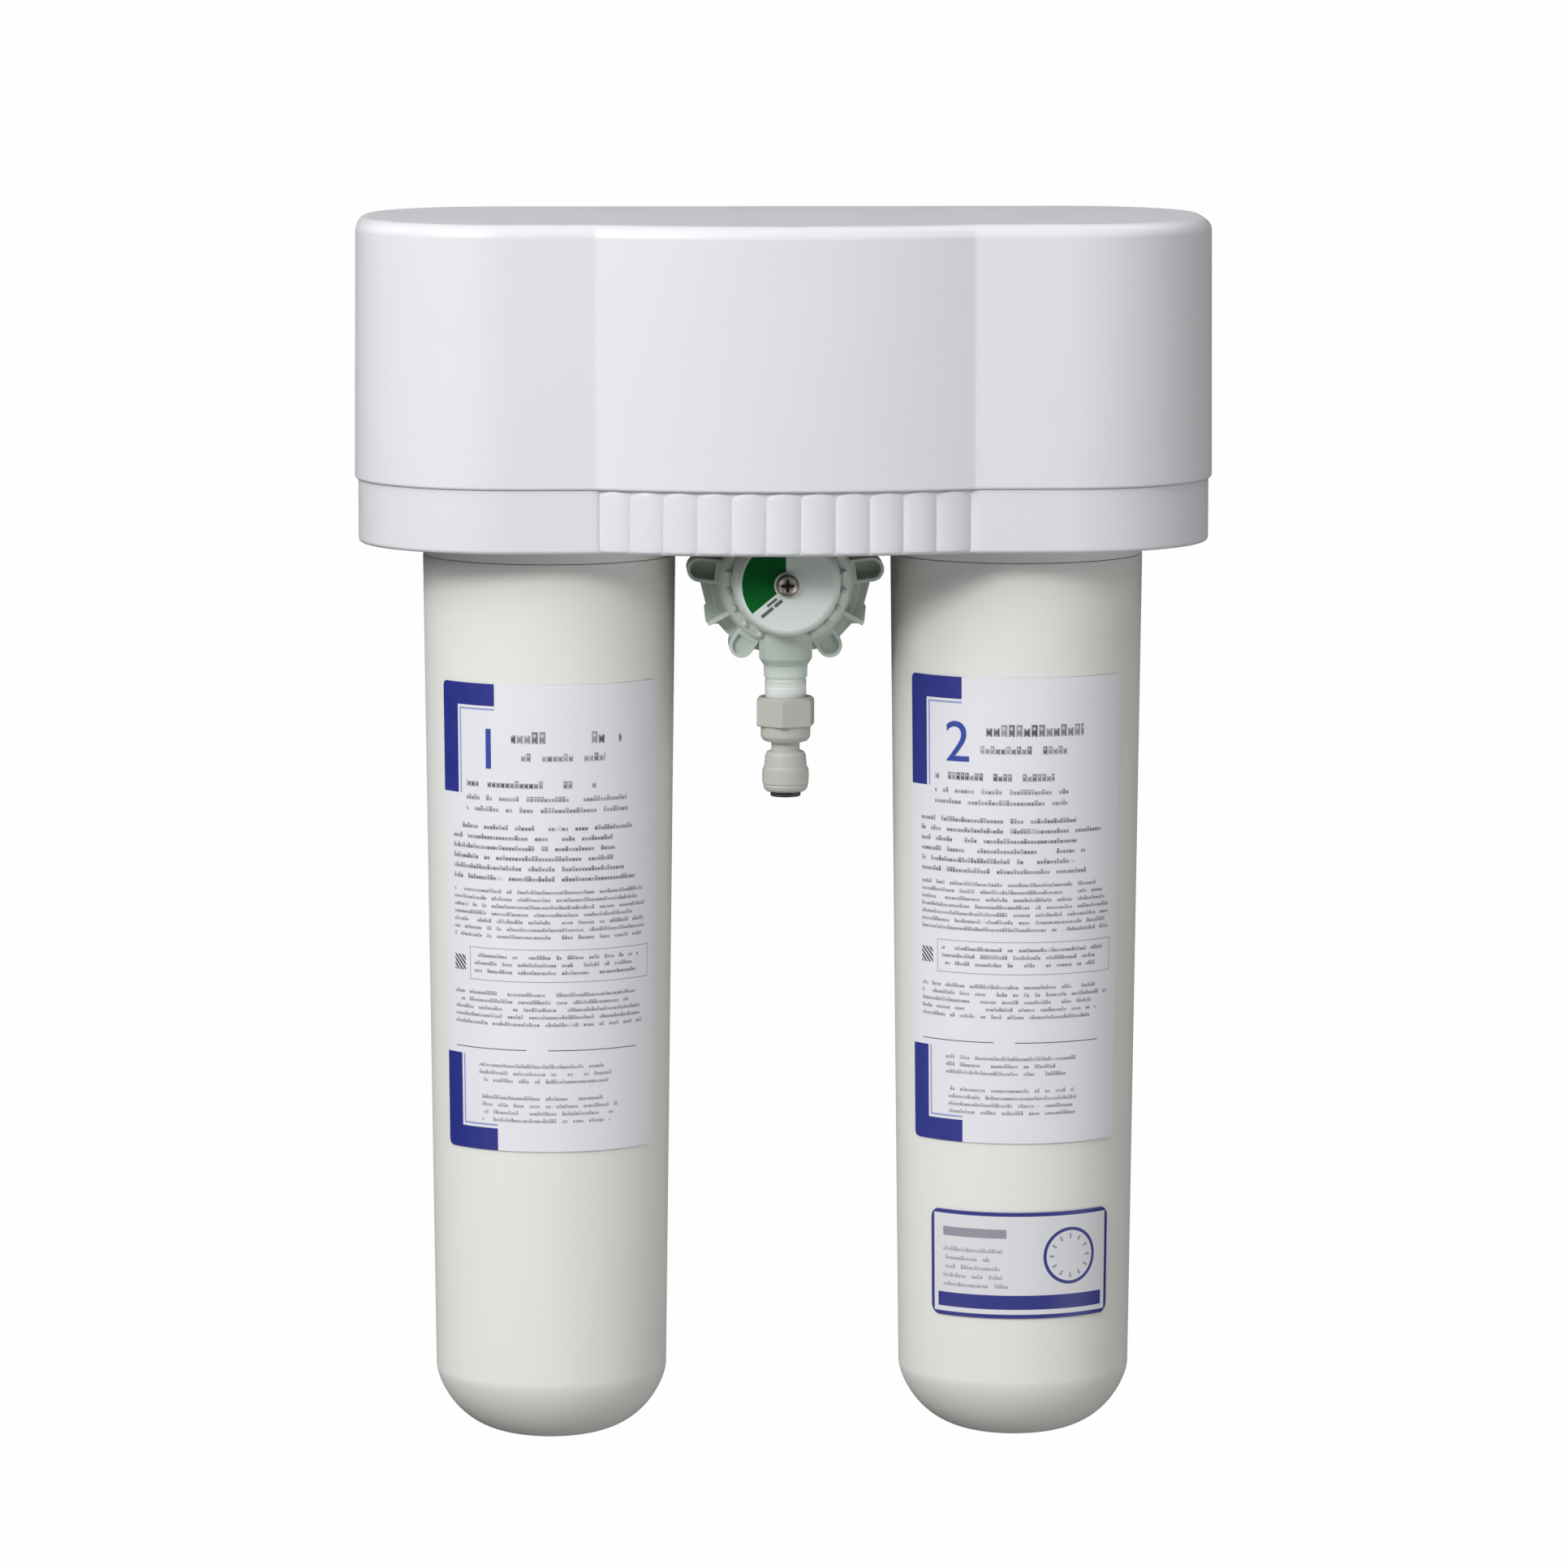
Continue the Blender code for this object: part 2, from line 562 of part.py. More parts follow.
def cartridge(index, cx):
    axis = TWIST[index]
    here = (cx, AXIS_Y)

    def add(name, profile, mat, steps, ring=False):
        made = turned(f"{name}_{index}", profile, here, mat, steps=steps, ring=ring, parent=axis)
        made.location = (0, 0, 0)
        return made

    top = RING_Z - 0.2
    outside = [(SHELL_TOP_R - 0.4, top), (SHELL_TOP_R, top - 0.5)] + dome(SHELL_LOW_R, DOME_START_Z, SHELL_BOTTOM_Z, 7)
    inside = [(SHELL_TOP_R - SHELL_WALL, top)]
    inside += dome(SHELL_LOW_R - SHELL_WALL, DOME_START_Z, SHELL_BOTTOM_Z + SHELL_WALL, 3)
    inside.reverse()
    add("cartridge_shell", inside + outside, IVORY, 30)

    cap = add(
        "cartridge_cap",
        [(0, -2), (15.5, -2), (NECK_R, -3.5), (NECK_R, -8.0), (14.2, -8.0), (14.2, -12.0), (NECK_R, -12.0),
         (NECK_R, -20.0), (14.2, -20.0), (14.2, -24.0), (NECK_R, -24.0), (NECK_R, -47.0),
         (36.5, -47.0), (SHELL_TOP_R, -51.5), (SHELL_TOP_R, RING_Z + 0.2), (38.1, RING_Z + 0.2),
         (38.1, -62.0), (35.5, -62.0), (35.5, -51.5), (9.5, -51.5), (9.5, -63.0), (6.5, -63.0),
         (6.5, -50.0), (0, -50.0)],
        IVORY, 20,
    )
    boolean(cap, box(f"cap_{index}_key", (cx - 3.0, AXIS_Y - 12, -6), (cx + 3.0, AXIS_Y + 12, 8.6)), "UNION")
    for number, side in ((1, 1), (2, -1)):
        ear = turned(
            f"cap_{index}_ear_{number}",
            [(25.5, -33.0), (25.5, -37.6), (15.5, -37.6), (15.5, -33.0)],
            here, None, steps=3, ring=True, angle=44.0, start=math.radians(-22.0 + (0 if side > 0 else 180)),
        )
        mesh = solid_mesh(ear)
        shape = bmesh.new()
        shape.from_mesh(mesh)
        bmesh.ops.holes_fill(shape, edges=[e for e in shape.edges if e.is_boundary], sides=8)
        bmesh.ops.recalc_face_normals(shape, faces=shape.faces)
        shape.to_mesh(mesh)
        shape.free()
        boolean(cap, put(f"cap_{index}_ear_{number}", mesh, None), "UNION")
    boolean(cap, cylinder(f"cap_{index}_bore", 2.2, -60, 15, here, segments=10))
    for number, angle in ((1, 0.0), (2, 180.0)):
        x = cx + 11.0 * math.cos(math.radians(angle))
        y = AXIS_Y + 11.0 * math.sin(math.radians(angle))
        boolean(cap, cylinder(f"cap_{index}_feed_{number}", 1.9, -60, 5, (x, y), segments=8))

    for name, z in (("upper", -10.0), ("lower", -22.0)):
        ring = torus(f"neck_o_ring_{name}_{index}", 16.1, 1.5, here, z, RUBBER, parent=axis, steps=18)
        ring.location = (0, 0, 0)

    add("carbon_block", [(32.0, -72.0), (32.0, -318.0), (9.0, -318.0), (9.0, -72.0)], CARBON, 20, ring=True)
    add("core_tube", [(8.6, -71.0), (8.6, -319.0), (7.0, -319.0), (7.0, -71.0)], TUBE, 12, ring=True)
    add(
        "block_top_cap",
        [(6.1, -53.0), (6.1, -67.7), (34.2, -67.7), (34.2, -76.0), (32.4, -76.0), (32.4, -70.6),
         (3.0, -70.6), (3.0, -53.0)],
        ROTOR, 20, ring=True,
    )
    add(
        "block_bottom_cap",
        [(0, -319.4), (32.4, -319.4), (32.4, -314.0), (34.2, -314.0), (34.2, -322.2), (0, -322.2)],
        ROTOR, 20,
    )
    return axis


for number, x in ((1, -AXIS_X), (2, AXIS_X)):
    valve_rotor(number, x)
    cartridge(number, x)


def label(name, index, cx, high, low, half_angle, middle=0.0):
    """A printed film that follows the cartridge's side. middle is its centre, in degrees from the front."""
    steps = max(6, round(half_angle * 2 / 9))
    film = turned(
        name, [(shell_radius(high) + GAP, high), (shell_radius(low) + GAP, low)], (cx, AXIS_Y), LABEL,
        steps=steps, parent=TWIST[index], angle=2 * half_angle, start=math.radians(-90 + middle - half_angle),
    )
    film.location = (0, 0, 0)
    thick = film.modifiers.new("film", "SOLIDIFY")
    thick.thickness = 0.25 * MM
    thick.offset = 1.0
    thick.use_even_offset = True
    return film


label("label_1", 1, -AXIS_X, -96.3, -248.6, 57.0)
label("label_2", 2, AXIS_X, -94.5, -246.7, 55.2, -3.3)
label("sticker_2", 2, AXIS_X, -269.5, -304.5, 47.5, 0.5)

# --------------------------------------------------------------------- meter


def on_circle(radius, angle):
    """(x, z) at an angle from straight down, positive towards +X."""
    a = math.radians(angle)
    return radius * math.sin(a), METER_Z - radius * math.cos(a)


def radial_bar(name, angle, inner, outer, half, front, back):
    """A flat bar that stands out from the meter's middle."""
    bar = box(name, (-half, front, -outer), (half, back, -inner))
    x, z = on_circle((inner + outer) / 2, angle)
    bar.location = Vector((x, (front + back) / 2, z)) * MM
    bar.rotation_euler = (0, -math.radians(angle), 0)
    return bar


meter_housing = turned(
    "meter_housing",
    [(3.4, -88.3), (18.6, -88.3), (20.6, -86.6), (21.5, -84.0), (22.0, -78.4), (24.6, -78.0), (24.6, -74.0),
     (17.4, -74.0), (17.4, -85.6), (3.4, -85.6)],
    (0, METER_Z), METER, "Y", 28, ring=True,
)
# The flange's outline runs straight from boss to boss, with a tooth at each rib.
flange = []
for side in (1, -1):
    half = [(0.0, 25.0), (25.0, 25.3), (43.5, 26.0), (55.7, 26.2), (60.5, 29.5), (70.7, 27.8), (72.0, 27.0), (87.0, 27.5),
            (108.0, 26.8), (118.0, 23.6), (150.0, 23.6), (180.0, 23.6)]
    half = [on_circle(r, side * angle) for angle, r in half]
    flange += half if side == 1 else half[-2:0:-1]
flange_mesh = outline_mesh("meter_flange", [[(x, z - METER_Z) for x, z in flange], arc(0, 0, 20.0, 0, 345, 23)], 0.2, 3.6)
flange_mesh.transform(Matrix(((1, 0, 0, 0), (0, 0, -1, -74.0 * MM), (0, 1, 0, METER_Z * MM), (0, 0, 0, 1))))
boolean(meter_housing, put("meter_flange", flange_mesh, None), "UNION")
boolean(meter_housing, cylinder("meter_neck_top", 8.6, -91.2, -82.3, (0, NECK_Y), segments=16), "UNION")
boolean(meter_housing, cylinder("meter_neck_middle", 6.95, -95.9, -88.0, (0, NECK_Y), segments=16), "UNION")
boolean(meter_housing, cylinder("meter_neck_thread", 6.4, -110.5, -90.0, (0, NECK_Y), segments=16), "UNION")
boolean(meter_housing, cylinder("meter_spigot", 6.0, -46.0, -35.0, (0, -80.5), segments=16), "UNION")
for number, (angle, circle) in enumerate(BOSSES, 1):
    x, z = on_circle(circle, angle)
    boolean(meter_housing, cylinder(f"boss_{number}", BOSS_R, -83.5, -74.0, (x, z), "Y", segments=8), "UNION")
    boolean(meter_housing, radial_bar(f"boss_arm_{number}", angle, 21.2, circle, BOSS_R - 0.7, -83.1, -74.4), "UNION")
for number, angle in enumerate(RIB_ANGLES, 1):
    boolean(meter_housing, radial_bar(f"rib_{number}", angle, 20.9, 28.7, 0.8, -84.7, -74.6), "UNION")
boolean(meter_housing, cylinder("meter_neck_bore", 4.0, -115.0, -80.0, (0, NECK_Y), segments=14))
boolean(meter_housing, cylinder("meter_spigot_socket", TUBE_BORE_R, -40.5, -30.0, (0, -80.5), segments=14))
boolean(meter_housing, cylinder("meter_spigot_bore", 2.4, -50.0, -36.0, (0, -80.5), segments=10))
for number, (angle, circle) in enumerate(BOSSES, 1):
    x, z = on_circle(circle, angle)
    boolean(meter_housing, cylinder(f"boss_pocket_{number}", 2.8, -90.0, -79.9, (x, z), "Y", segments=8))
    boolean(meter_housing, radial_bar(f"arm_pocket_{number}", angle, 22.9, circle, 2.3, -89.0, -80.0))
    boolean(meter_housing, cylinder(f"boss_pilot_{number}", 1.65, -78.8, -70.0, (x, z), "Y", segments=8))

boolean(
    meter_housing,
    turned("gasket_groove", [(20.7, -76.2), (20.7, -73.0), (18.4, -73.0), (18.4, -76.2)], (0, METER_Z), None, "Y", 28,
           ring=True),
)

meter_back_plate = cylinder("meter_back_plate", 25.3, -73.7, -70.5, (0, METER_Z), "Y", METER, 28)
for number, (angle, circle) in enumerate(BOSSES, 1):
    x, z = on_circle(circle, angle)
    boolean(meter_back_plate, cylinder(f"plate_ear_{number}", BOSS_R, -73.7, -70.5, (x, z), "Y", segments=8), "UNION")
boolean(meter_back_plate, box("plate_tab", (-22, -73.2, -49.4), (22, -56.0, -46.9)), "UNION")
for number, (angle, circle) in enumerate(BOSSES, 1):
    x, z = on_circle(circle, angle)
    boolean(meter_back_plate, cylinder(f"plate_hole_{number}", 1.7, -77.0, -65.0, (x, z), "Y", segments=8))
for side, x in (("left", -17.0), ("right", 17.0)):
    boolean(meter_back_plate, cylinder(f"tab_hole_{side}", 1.7, -53.0, -43.0, (x, -61.0), segments=8))

torus("meter_gasket", 19.55, 0.8, (0, METER_Z), -75.05, RUBBER, "Y", 24)
for number, (angle, circle) in enumerate(BOSSES, 1):
    screw(f"meter_screw_{number}", on_circle(circle, angle), -70.2, -78.4, 2.9, 1.9, 1.3, "Y", steps=6)

# The dial is a shallow cup that turns in front of the housing.
meter_dial = turned(
    "meter_dial",
    [(1.5, DIAL_FACE_Y - 0.5), (13.6, DIAL_FACE_Y + 0.5), (15.8, DIAL_FACE_Y + 2.2), (17.1, DIAL_FACE_Y + 5.0),
     (DIAL_R, DIAL_RIM_Y), (16.2, DIAL_RIM_Y), (15.4, DIAL_FACE_Y + 5.2),
     (13.2, DIAL_FACE_Y + 2.6), (5.2, DIAL_FACE_Y + 1.8), (5.2, -89.2), (3.3, -89.2),
     (3.3, DIAL_FACE_Y + 1.8), (1.5, DIAL_FACE_Y + 1.8)],
    (0, METER_Z), DIAL, "Y", 28, ring=True, parent=DIAL_AXIS,
)
meter_dial.location = (0, -DIAL_FACE_Y * MM, 0)
dial_screw = screw("dial_screw", (0, METER_Z), DIAL_FACE_Y - 0.8, -92.0, 3.6, 2.2, 1.2, "Y", parent=DIAL_AXIS)
dial_screw.location = (0, -DIAL_FACE_Y * MM, 0)


def gear_outline(teeth, module, phase):
    """A spur gear's outline. A tooth points at the angle phase, in degrees."""
    pitch = teeth * module / 2
    tip, root = pitch + 0.85 * module, pitch - 1.1 * module
    points = []
    for tooth in range(teeth):
        middle = phase + 360.0 * tooth / teeth
        for r, share in ((root, -0.32), (tip, -0.12), (tip, 0.12), (root, 0.32)):
            a = math.radians(middle + share * 360.0 / teeth)
            points.append((r * math.cos(a), r * math.sin(a)))
    return points


def gear_mesh(name, teeth, phase, front, back, cx, cz):
    mesh = outline_mesh(name, [gear_outline(teeth, GEAR_MODULE, phase)], 0, back - front)
    # The outline's plane becomes X-Z, and its thickness runs from the back to the front.
    mesh.transform(Matrix(((1, 0, 0, cx * MM), (0, 0, -1, back * MM), (0, 1, 0, cz * MM), (0, 0, 0, 1))))
    return mesh


dial_gear = turned(
    "dial_gear",
    [(0, -98.0), (3.0, -98.0), (3.0, -80.2), (0, -80.2)],
    (0, METER_Z), GEAR, "Y", 14, parent=DIAL_AXIS,
)
dial_gear.location = (0, -DIAL_FACE_Y * MM, 0)
boolean(
    dial_gear,
    put("dial_gear_teeth", gear_mesh("dial_gear_teeth", DIAL_TEETH, PINION_ANGLE, -85.0, -82.8, 0, METER_Z), None),
    "UNION",
)
boolean(dial_gear, cylinder("spindle_pilot", 1.5, -110, -91.2, (0, METER_Z), "Y", segments=8))

drive_pinion = turned(
    "drive_pinion",
    [(0, -85.2), (1.2, -85.2), (1.2, -80.4), (4.2, -80.4), (4.2, -78.4), (1.2, -78.4), (1.2, -74.4), (0, -74.4)],
    (PINION_X, PINION_Z), GEAR, "Y", 10, parent=PINION_AXIS,
)
drive_pinion.location = (0, 83.8 * MM, 0)
boolean(
    drive_pinion,
    put(
        "pinion_teeth",
        gear_mesh("pinion_teeth", PINION_TEETH, PINION_ANGLE + 180.0 + 180.0 / PINION_TEETH, -84.9, -82.9,
                  PINION_X, PINION_Z),
        None,
    ),
    "UNION",
)

impeller = turned(
    "impeller", [(1.3, -81.6), (2.6, -81.6), (2.6, -75.4), (1.3, -75.4)],
    (IMPELLER_X, IMPELLER_Z), GEAR, "Y", 14, ring=True, parent=IMPELLER_AXIS,
)
impeller.location = (0, 78.0 * MM, 0)
for blade in range(6):
    paddle = box(f"impeller_blade_{blade}", (-0.5, -81.0, 2.0), (0.5, -76.0, 5.4))
    a = math.radians(60 * blade)
    paddle.location = Vector((IMPELLER_X + 3.7 * math.sin(a), -78.5, IMPELLER_Z + 3.7 * math.cos(a))) * MM
    paddle.rotation_euler = (0, a, 0)
    boolean(impeller, paddle, "UNION")
cylinder("impeller_shaft", 0.95, -85.2, -74.1, (IMPELLER_X, IMPELLER_Z), "Y", STEEL, 12)

# -------------------------------------------------------------- outlet fitting

outlet_adapter = turned(
    "outlet_adapter",
    [(8.8, -101.8), (8.8, -108.0), (8.05, -111.3), (8.05, -114.8), (7.0, -116.2), (4.6, -116.8),
     (4.6, -119.0), (6.6, -120.0), (7.0, -121.6), (7.4, -124.6), (7.4, -129.8), (6.5, -132.6), (5.2, -132.6),
     (5.2, -130.3), (4.7, -130.3), (4.7, -122.6), (5.25, -122.6),
     (5.25, -119.3), (TUBE_BORE_R, -119.3), (TUBE_BORE_R, -113.6), (2.4, -113.6), (2.4, -111.6), (6.75, -110.9),
     (6.75, -101.8)],
    (0, NECK_Y), FITTING, steps=18, ring=True,
)
hexagon = [
    (18.0 / math.sqrt(3) * math.cos(math.radians(a)), NECK_Y + 18.0 / math.sqrt(3) * math.sin(math.radians(a)))
    for a in (30 + 1, 90 + 1, 150 + 1, 210 + 1, 270 + 1, 330 + 1)
]
hex_mesh = outline_mesh("adapter_hexagon", [hexagon], -111.2, -102.0)
round_level(hex_mesh, -102.0, 0.5, 1)
hex_body = put("adapter_hexagon", hex_mesh, None)
boolean(hex_body, cylinder("adapter_hexagon_bore", 7.9, -115, -95, (0, NECK_Y), segments=20))
boolean(outlet_adapter, hex_body, "UNION")
torus("outlet_o_ring", 4.25, 0.75, (0, NECK_Y), -120.9, RUBBER, steps=14)


def collet(name, centre, low, axis):
    """The ring that is pressed in to let go of the tube. low is the height of its outer face."""
    made = turned(
        name,
        [(4.3, low + 9.8), (4.3, low + 1.9), (4.9, low + 1.9), (4.9, low + 0.4), (4.6, low), (3.5, low),
         (3.3, low + 0.3), (3.3, low + 9.8)],
        centre, COLLET, steps=16, ring=True, parent=axis,
    )
    made.location = (0, 0, -axis.location.z)
    return made


collet("outlet_collet", (0, NECK_Y), -134.3, OUTLET_AXIS)

# --------------------------------------------------------------- inlet fitting

turned(
    "inlet_fitting",
    [(6.5, -38.0), (6.5, -46.5), (11.0, -46.5), (11.0, -49.4), (8.1, -49.4), (7.55, -58.0),
     (7.55, -76.6), (6.2, -79.0), (5.2, -79.0), (5.2, -76.7), (4.7, -76.7), (4.7, -69.0),
     (5.25, -69.0), (5.25, -65.7), (TUBE_BORE_R, -65.7), (TUBE_BORE_R, -60.0), (2.4, -60.0), (2.4, -44.5),
     (TUBE_BORE_R, -44.5), (TUBE_BORE_R, -38.0)],
    (0, INLET_Y), FITTING, steps=18, ring=True,
)
inlet_nut = turned(
    "inlet_nut", [(0, -52.8), (11.4, -52.8), (12.0, -53.4), (12.0, -56.4), (0, -56.4)], (0, INLET_Y), FITTING, steps=6
)
boolean(inlet_nut, cylinder("inlet_nut_bore", 8.6, -60, -50, (0, INLET_Y), segments=20))
torus("inlet_o_ring", 4.25, 0.75, (0, INLET_Y), -67.3, RUBBER, steps=14)
collet("inlet_collet", (0, INLET_Y), -80.7, INLET_AXIS)

# ---------------------------------------------------------------------- tubes


def smooth_route(points, steps):
    """A smooth curve through the route's own points."""
    knots = [Vector(p) for p in points]
    knots = [2 * knots[0] - knots[1]] + knots + [2 * knots[-1] - knots[-2]]
    route = []
    for i in range(1, len(knots) - 2):
        a, b, c, d = knots[i - 1 : i + 3]
        for k in range(steps):
            t = k / steps
            route.append(0.5 * (2 * b + (c - a) * t + (2 * a - 5 * b + 4 * c - d) * t * t + (3 * b - a - 3 * c + d) * t ** 3))
    route.append(knots[-2])
    return route


def tube(name, points, steps):
    wire = bpy.data.curves.new(name, "CURVE")
    wire.dimensions = "3D"
    wire.bevel_depth = TUBE_R * MM
    wire.bevel_resolution = 2
    wire.use_fill_caps = True
    line = wire.splines.new("POLY")
    route = smooth_route(points, steps)
    line.points.add(len(route) - 1)
    for point, place in zip(line.points, route):
        point.co = (*(place * MM), 1)
    made = bpy.data.objects.new(name, wire)
    wire.materials.append(TUBE)
    PARTS.objects.link(made)
    return made


PORT_X = AXIS_X - 31.0
tube("crossover_tube", [(-PORT_X, AXIS_Y, UPPER_PORT_Z), (PORT_X, AXIS_Y, UPPER_PORT_Z)], 2)
tube(
    "feed_tube",
    [(0, INLET_Y, -44.0), (0, INLET_Y, -34.0), (-2.5, INLET_Y - 3, -24.0), (-12, -40, -13.0), (-25, -52.5, -8.8),
     (-35.5, AXIS_Y, LOWER_PORT_Z), (-38.5, AXIS_Y, LOWER_PORT_Z), (-PORT_X, AXIS_Y, LOWER_PORT_Z)],
    2,
)
tube(
    "outlet_tube",
    [(0, -80.5, -40.0), (0, -80.5, -32.0), (2, -79.5, -23.5), (10, -74, -14.0), (22, -64.5, -9.2),
     (35.5, AXIS_Y, LOWER_PORT_Z), (38.5, AXIS_Y, LOWER_PORT_Z), (PORT_X, AXIS_Y, LOWER_PORT_Z)],
    2,
)
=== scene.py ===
import math
import random

import bmesh
import bpy
import numpy as np
from mathutils import Matrix, Vector


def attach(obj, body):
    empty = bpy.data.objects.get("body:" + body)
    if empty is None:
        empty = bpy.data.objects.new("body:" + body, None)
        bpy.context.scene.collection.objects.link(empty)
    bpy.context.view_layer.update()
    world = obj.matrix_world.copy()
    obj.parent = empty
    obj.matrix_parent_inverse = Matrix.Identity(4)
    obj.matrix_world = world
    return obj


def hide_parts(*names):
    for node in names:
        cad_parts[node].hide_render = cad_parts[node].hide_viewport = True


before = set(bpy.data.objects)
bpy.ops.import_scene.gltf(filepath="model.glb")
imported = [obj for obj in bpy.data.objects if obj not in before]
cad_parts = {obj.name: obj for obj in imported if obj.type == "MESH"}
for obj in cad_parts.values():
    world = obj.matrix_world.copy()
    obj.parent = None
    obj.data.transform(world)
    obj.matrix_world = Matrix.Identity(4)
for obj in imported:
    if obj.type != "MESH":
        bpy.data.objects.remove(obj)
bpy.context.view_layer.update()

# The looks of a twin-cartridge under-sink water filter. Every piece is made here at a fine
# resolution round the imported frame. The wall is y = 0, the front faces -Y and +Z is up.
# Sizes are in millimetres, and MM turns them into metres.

MM = 0.001

# ------------------------------------------------------------------ driving sizes

HALF_WIDTH = 139.15
BACK_Y, FRONT_Y = -1.0, -116.0
BULGE = 11.5
PANEL_HALF = 60.6
BOW_X, FLUTE_X = -1.2, -0.9  # the bow's middle, and how much further left the valleys sit
FRONT_R, BACK_R = 50.0, 45.0
TOP_Z, SEAM_Z, LOW_Z = 52.5, -31.9, -52.5
WALL = 2.8
BAND_INSET = 1.1
FLUTES, FLUTE_DEPTH = 11, 1.1
AXIS_X, AXIS_Y = 76.2, -58.0
RING_Z = -57.2
SHELL_TOP_R, SHELL_LOW_R = 41.1, 37.8
DOME_Z, BOTTOM_Z = -326.3, -349.4
METER_Z, DIAL_FACE_Y, DIAL_RIM_Y, DIAL_R = -64.0, -100.0, -89.0, 17.7
NECK_Y, INLET_Y = -83.0, -28.0
BOSSES = ((34.0, 25.6), (97.0, 28.1), (159.0, 26.5), (-34.0, 25.6), (-97.0, 28.1), (-159.0, 26.5))
RIBS = (60.5, 127.5, -60.5, -127.5)
BOSS_R = 4.0
TUBE_R, BORE_R = 3.175, 3.5


# ------------------------------------------------------------------ shader helpers


class Graph:
    """Builds a node tree. A value may be a number or a socket."""

    def __init__(self, name):
        self.mat = bpy.data.materials.new(name)
        self.mat.use_nodes = True
        self.tree = self.mat.node_tree
        self.shader = self.tree.nodes["Principled BSDF"]
        self.coord = None

    def node(self, kind, **props):
        made = self.tree.nodes.new(kind)
        for key, value in props.items():
            setattr(made, key, value)
        return made

    def join(self, value, socket):
        if isinstance(value, (int, float)):
            socket.default_value = value
        elif isinstance(value, (tuple, list)):
            socket.default_value = tuple(value) if len(value) == len(socket.default_value) else (*value, 1.0)
        else:
            self.tree.links.new(value, socket)

    def m(self, op, a, b=None, c=None, clamp=False):
        made = self.node("ShaderNodeMath", operation=op, use_clamp=clamp)
        for i, value in enumerate((a, b, c)):
            if value is not None:
                self.join(value, made.inputs[i])
        return made.outputs[0]

    def add(self, a, b):
        return self.m("ADD", a, b)

    def sub(self, a, b):
        return self.m("SUBTRACT", a, b)

    def mul(self, a, b):
        return self.m("MULTIPLY", a, b)

    def object_point(self):
        if self.coord is None:
            self.coord = self.node("ShaderNodeTexCoord").outputs["Object"]
        return self.coord

    def split(self, vector):
        made = self.node("ShaderNodeSeparateXYZ")
        self.join(vector, made.inputs[0])
        return made.outputs[0], made.outputs[1], made.outputs[2]

    def vector(self, x, y, z=0.0):
        made = self.node("ShaderNodeCombineXYZ")
        for i, value in enumerate((x, y, z)):
            self.join(value, made.inputs[i])
        return made.outputs[0]

    def noise(self, scale, detail=2.0, rough=0.5, vector=None, stretch=None):
        made = self.node("ShaderNodeTexNoise")
        source = self.object_point() if vector is None else vector
        if stretch is not None:
            bend = self.node("ShaderNodeVectorMath", operation="MULTIPLY")
            self.join(source, bend.inputs[0])
            bend.inputs[1].default_value = stretch
            source = bend.outputs[0]
        self.join(source, made.inputs["Vector"])
        made.inputs["Scale"].default_value = scale
        made.inputs["Detail"].default_value = detail
        made.inputs["Roughness"].default_value = rough
        return made.outputs[0]

    def mix(self, share, a, b):
        made = self.node("ShaderNodeMix", data_type="RGBA")
        self.join(share, made.inputs[0])
        self.join(a, made.inputs[6])
        self.join(b, made.inputs[7])
        return made.outputs[2]

    def edge(self, value, at, soft=0.12):
        """0 below at and 1 above it, softened over this many units."""
        return self.m("MULTIPLY_ADD", self.sub(value, at), 1.0 / soft, 0.5, clamp=True)

    def below(self, value, at, soft=0.12):
        return self.m("MULTIPLY_ADD", self.sub(at, value), 1.0 / soft, 0.5, clamp=True)

    def all(self, *values):
        total = values[0]
        for value in values[1:]:
            total = self.mul(total, value)
        return total

    def any(self, *values):
        total = values[0]
        for value in values[1:]:
            total = self.m("MAXIMUM", total, value)
        return total

    def rect(self, u, v, x0, x1, y0, y1, soft=0.12):
        return self.all(self.edge(u, x0, soft), self.below(u, x1, soft), self.edge(v, y0, soft), self.below(v, y1, soft))

    def finish(self, colour, roughness, bump=None, strength=0.1, distance=0.0001):
        self.join(colour, self.shader.inputs["Base Color"])
        self.join(roughness, self.shader.inputs["Roughness"])
        if bump is not None:
            made = self.node("ShaderNodeBump")
            made.inputs["Strength"].default_value = strength
            made.inputs["Distance"].default_value = distance
            self.join(bump, made.inputs["Height"])
            self.tree.links.new(made.outputs[0], self.shader.inputs["Normal"])
        return self.mat


def set_shader(graph, **values):
    names = {
        "metallic": "Metallic", "transmission": "Transmission Weight", "ior": "IOR", "specular": "Specular IOR Level",
        "subsurface": "Subsurface Weight", "radius": "Subsurface Radius", "depth": "Subsurface Scale",
        "coat": "Coat Weight", "coat_roughness": "Coat Roughness",
    }
    for key, value in values.items():
        graph.shader.inputs[names[key]].default_value = value


def plastic(name, colour, roughness, vary=0.025, grain=1600.0, strength=0.08, distance=0.00004, streak=None, **more):
    """Moulded plastic: slow tone changes, a fine moulded grain and uneven gloss."""
    g = Graph(name)
    slow = g.noise(26.0, 2.0, 0.5, stretch=streak)
    fine = g.noise(grain, 3.0, 0.6)
    low = tuple(c * (1 - vary) for c in colour)
    high = tuple(min(1.0, c * (1 + vary * 0.6)) for c in colour)
    tone = g.mix(slow, low, high)
    rough = g.m("MULTIPLY_ADD", slow, 0.10, roughness - 0.05)
    set_shader(g, **more)
    return g.finish(tone, rough, fine, strength, distance)


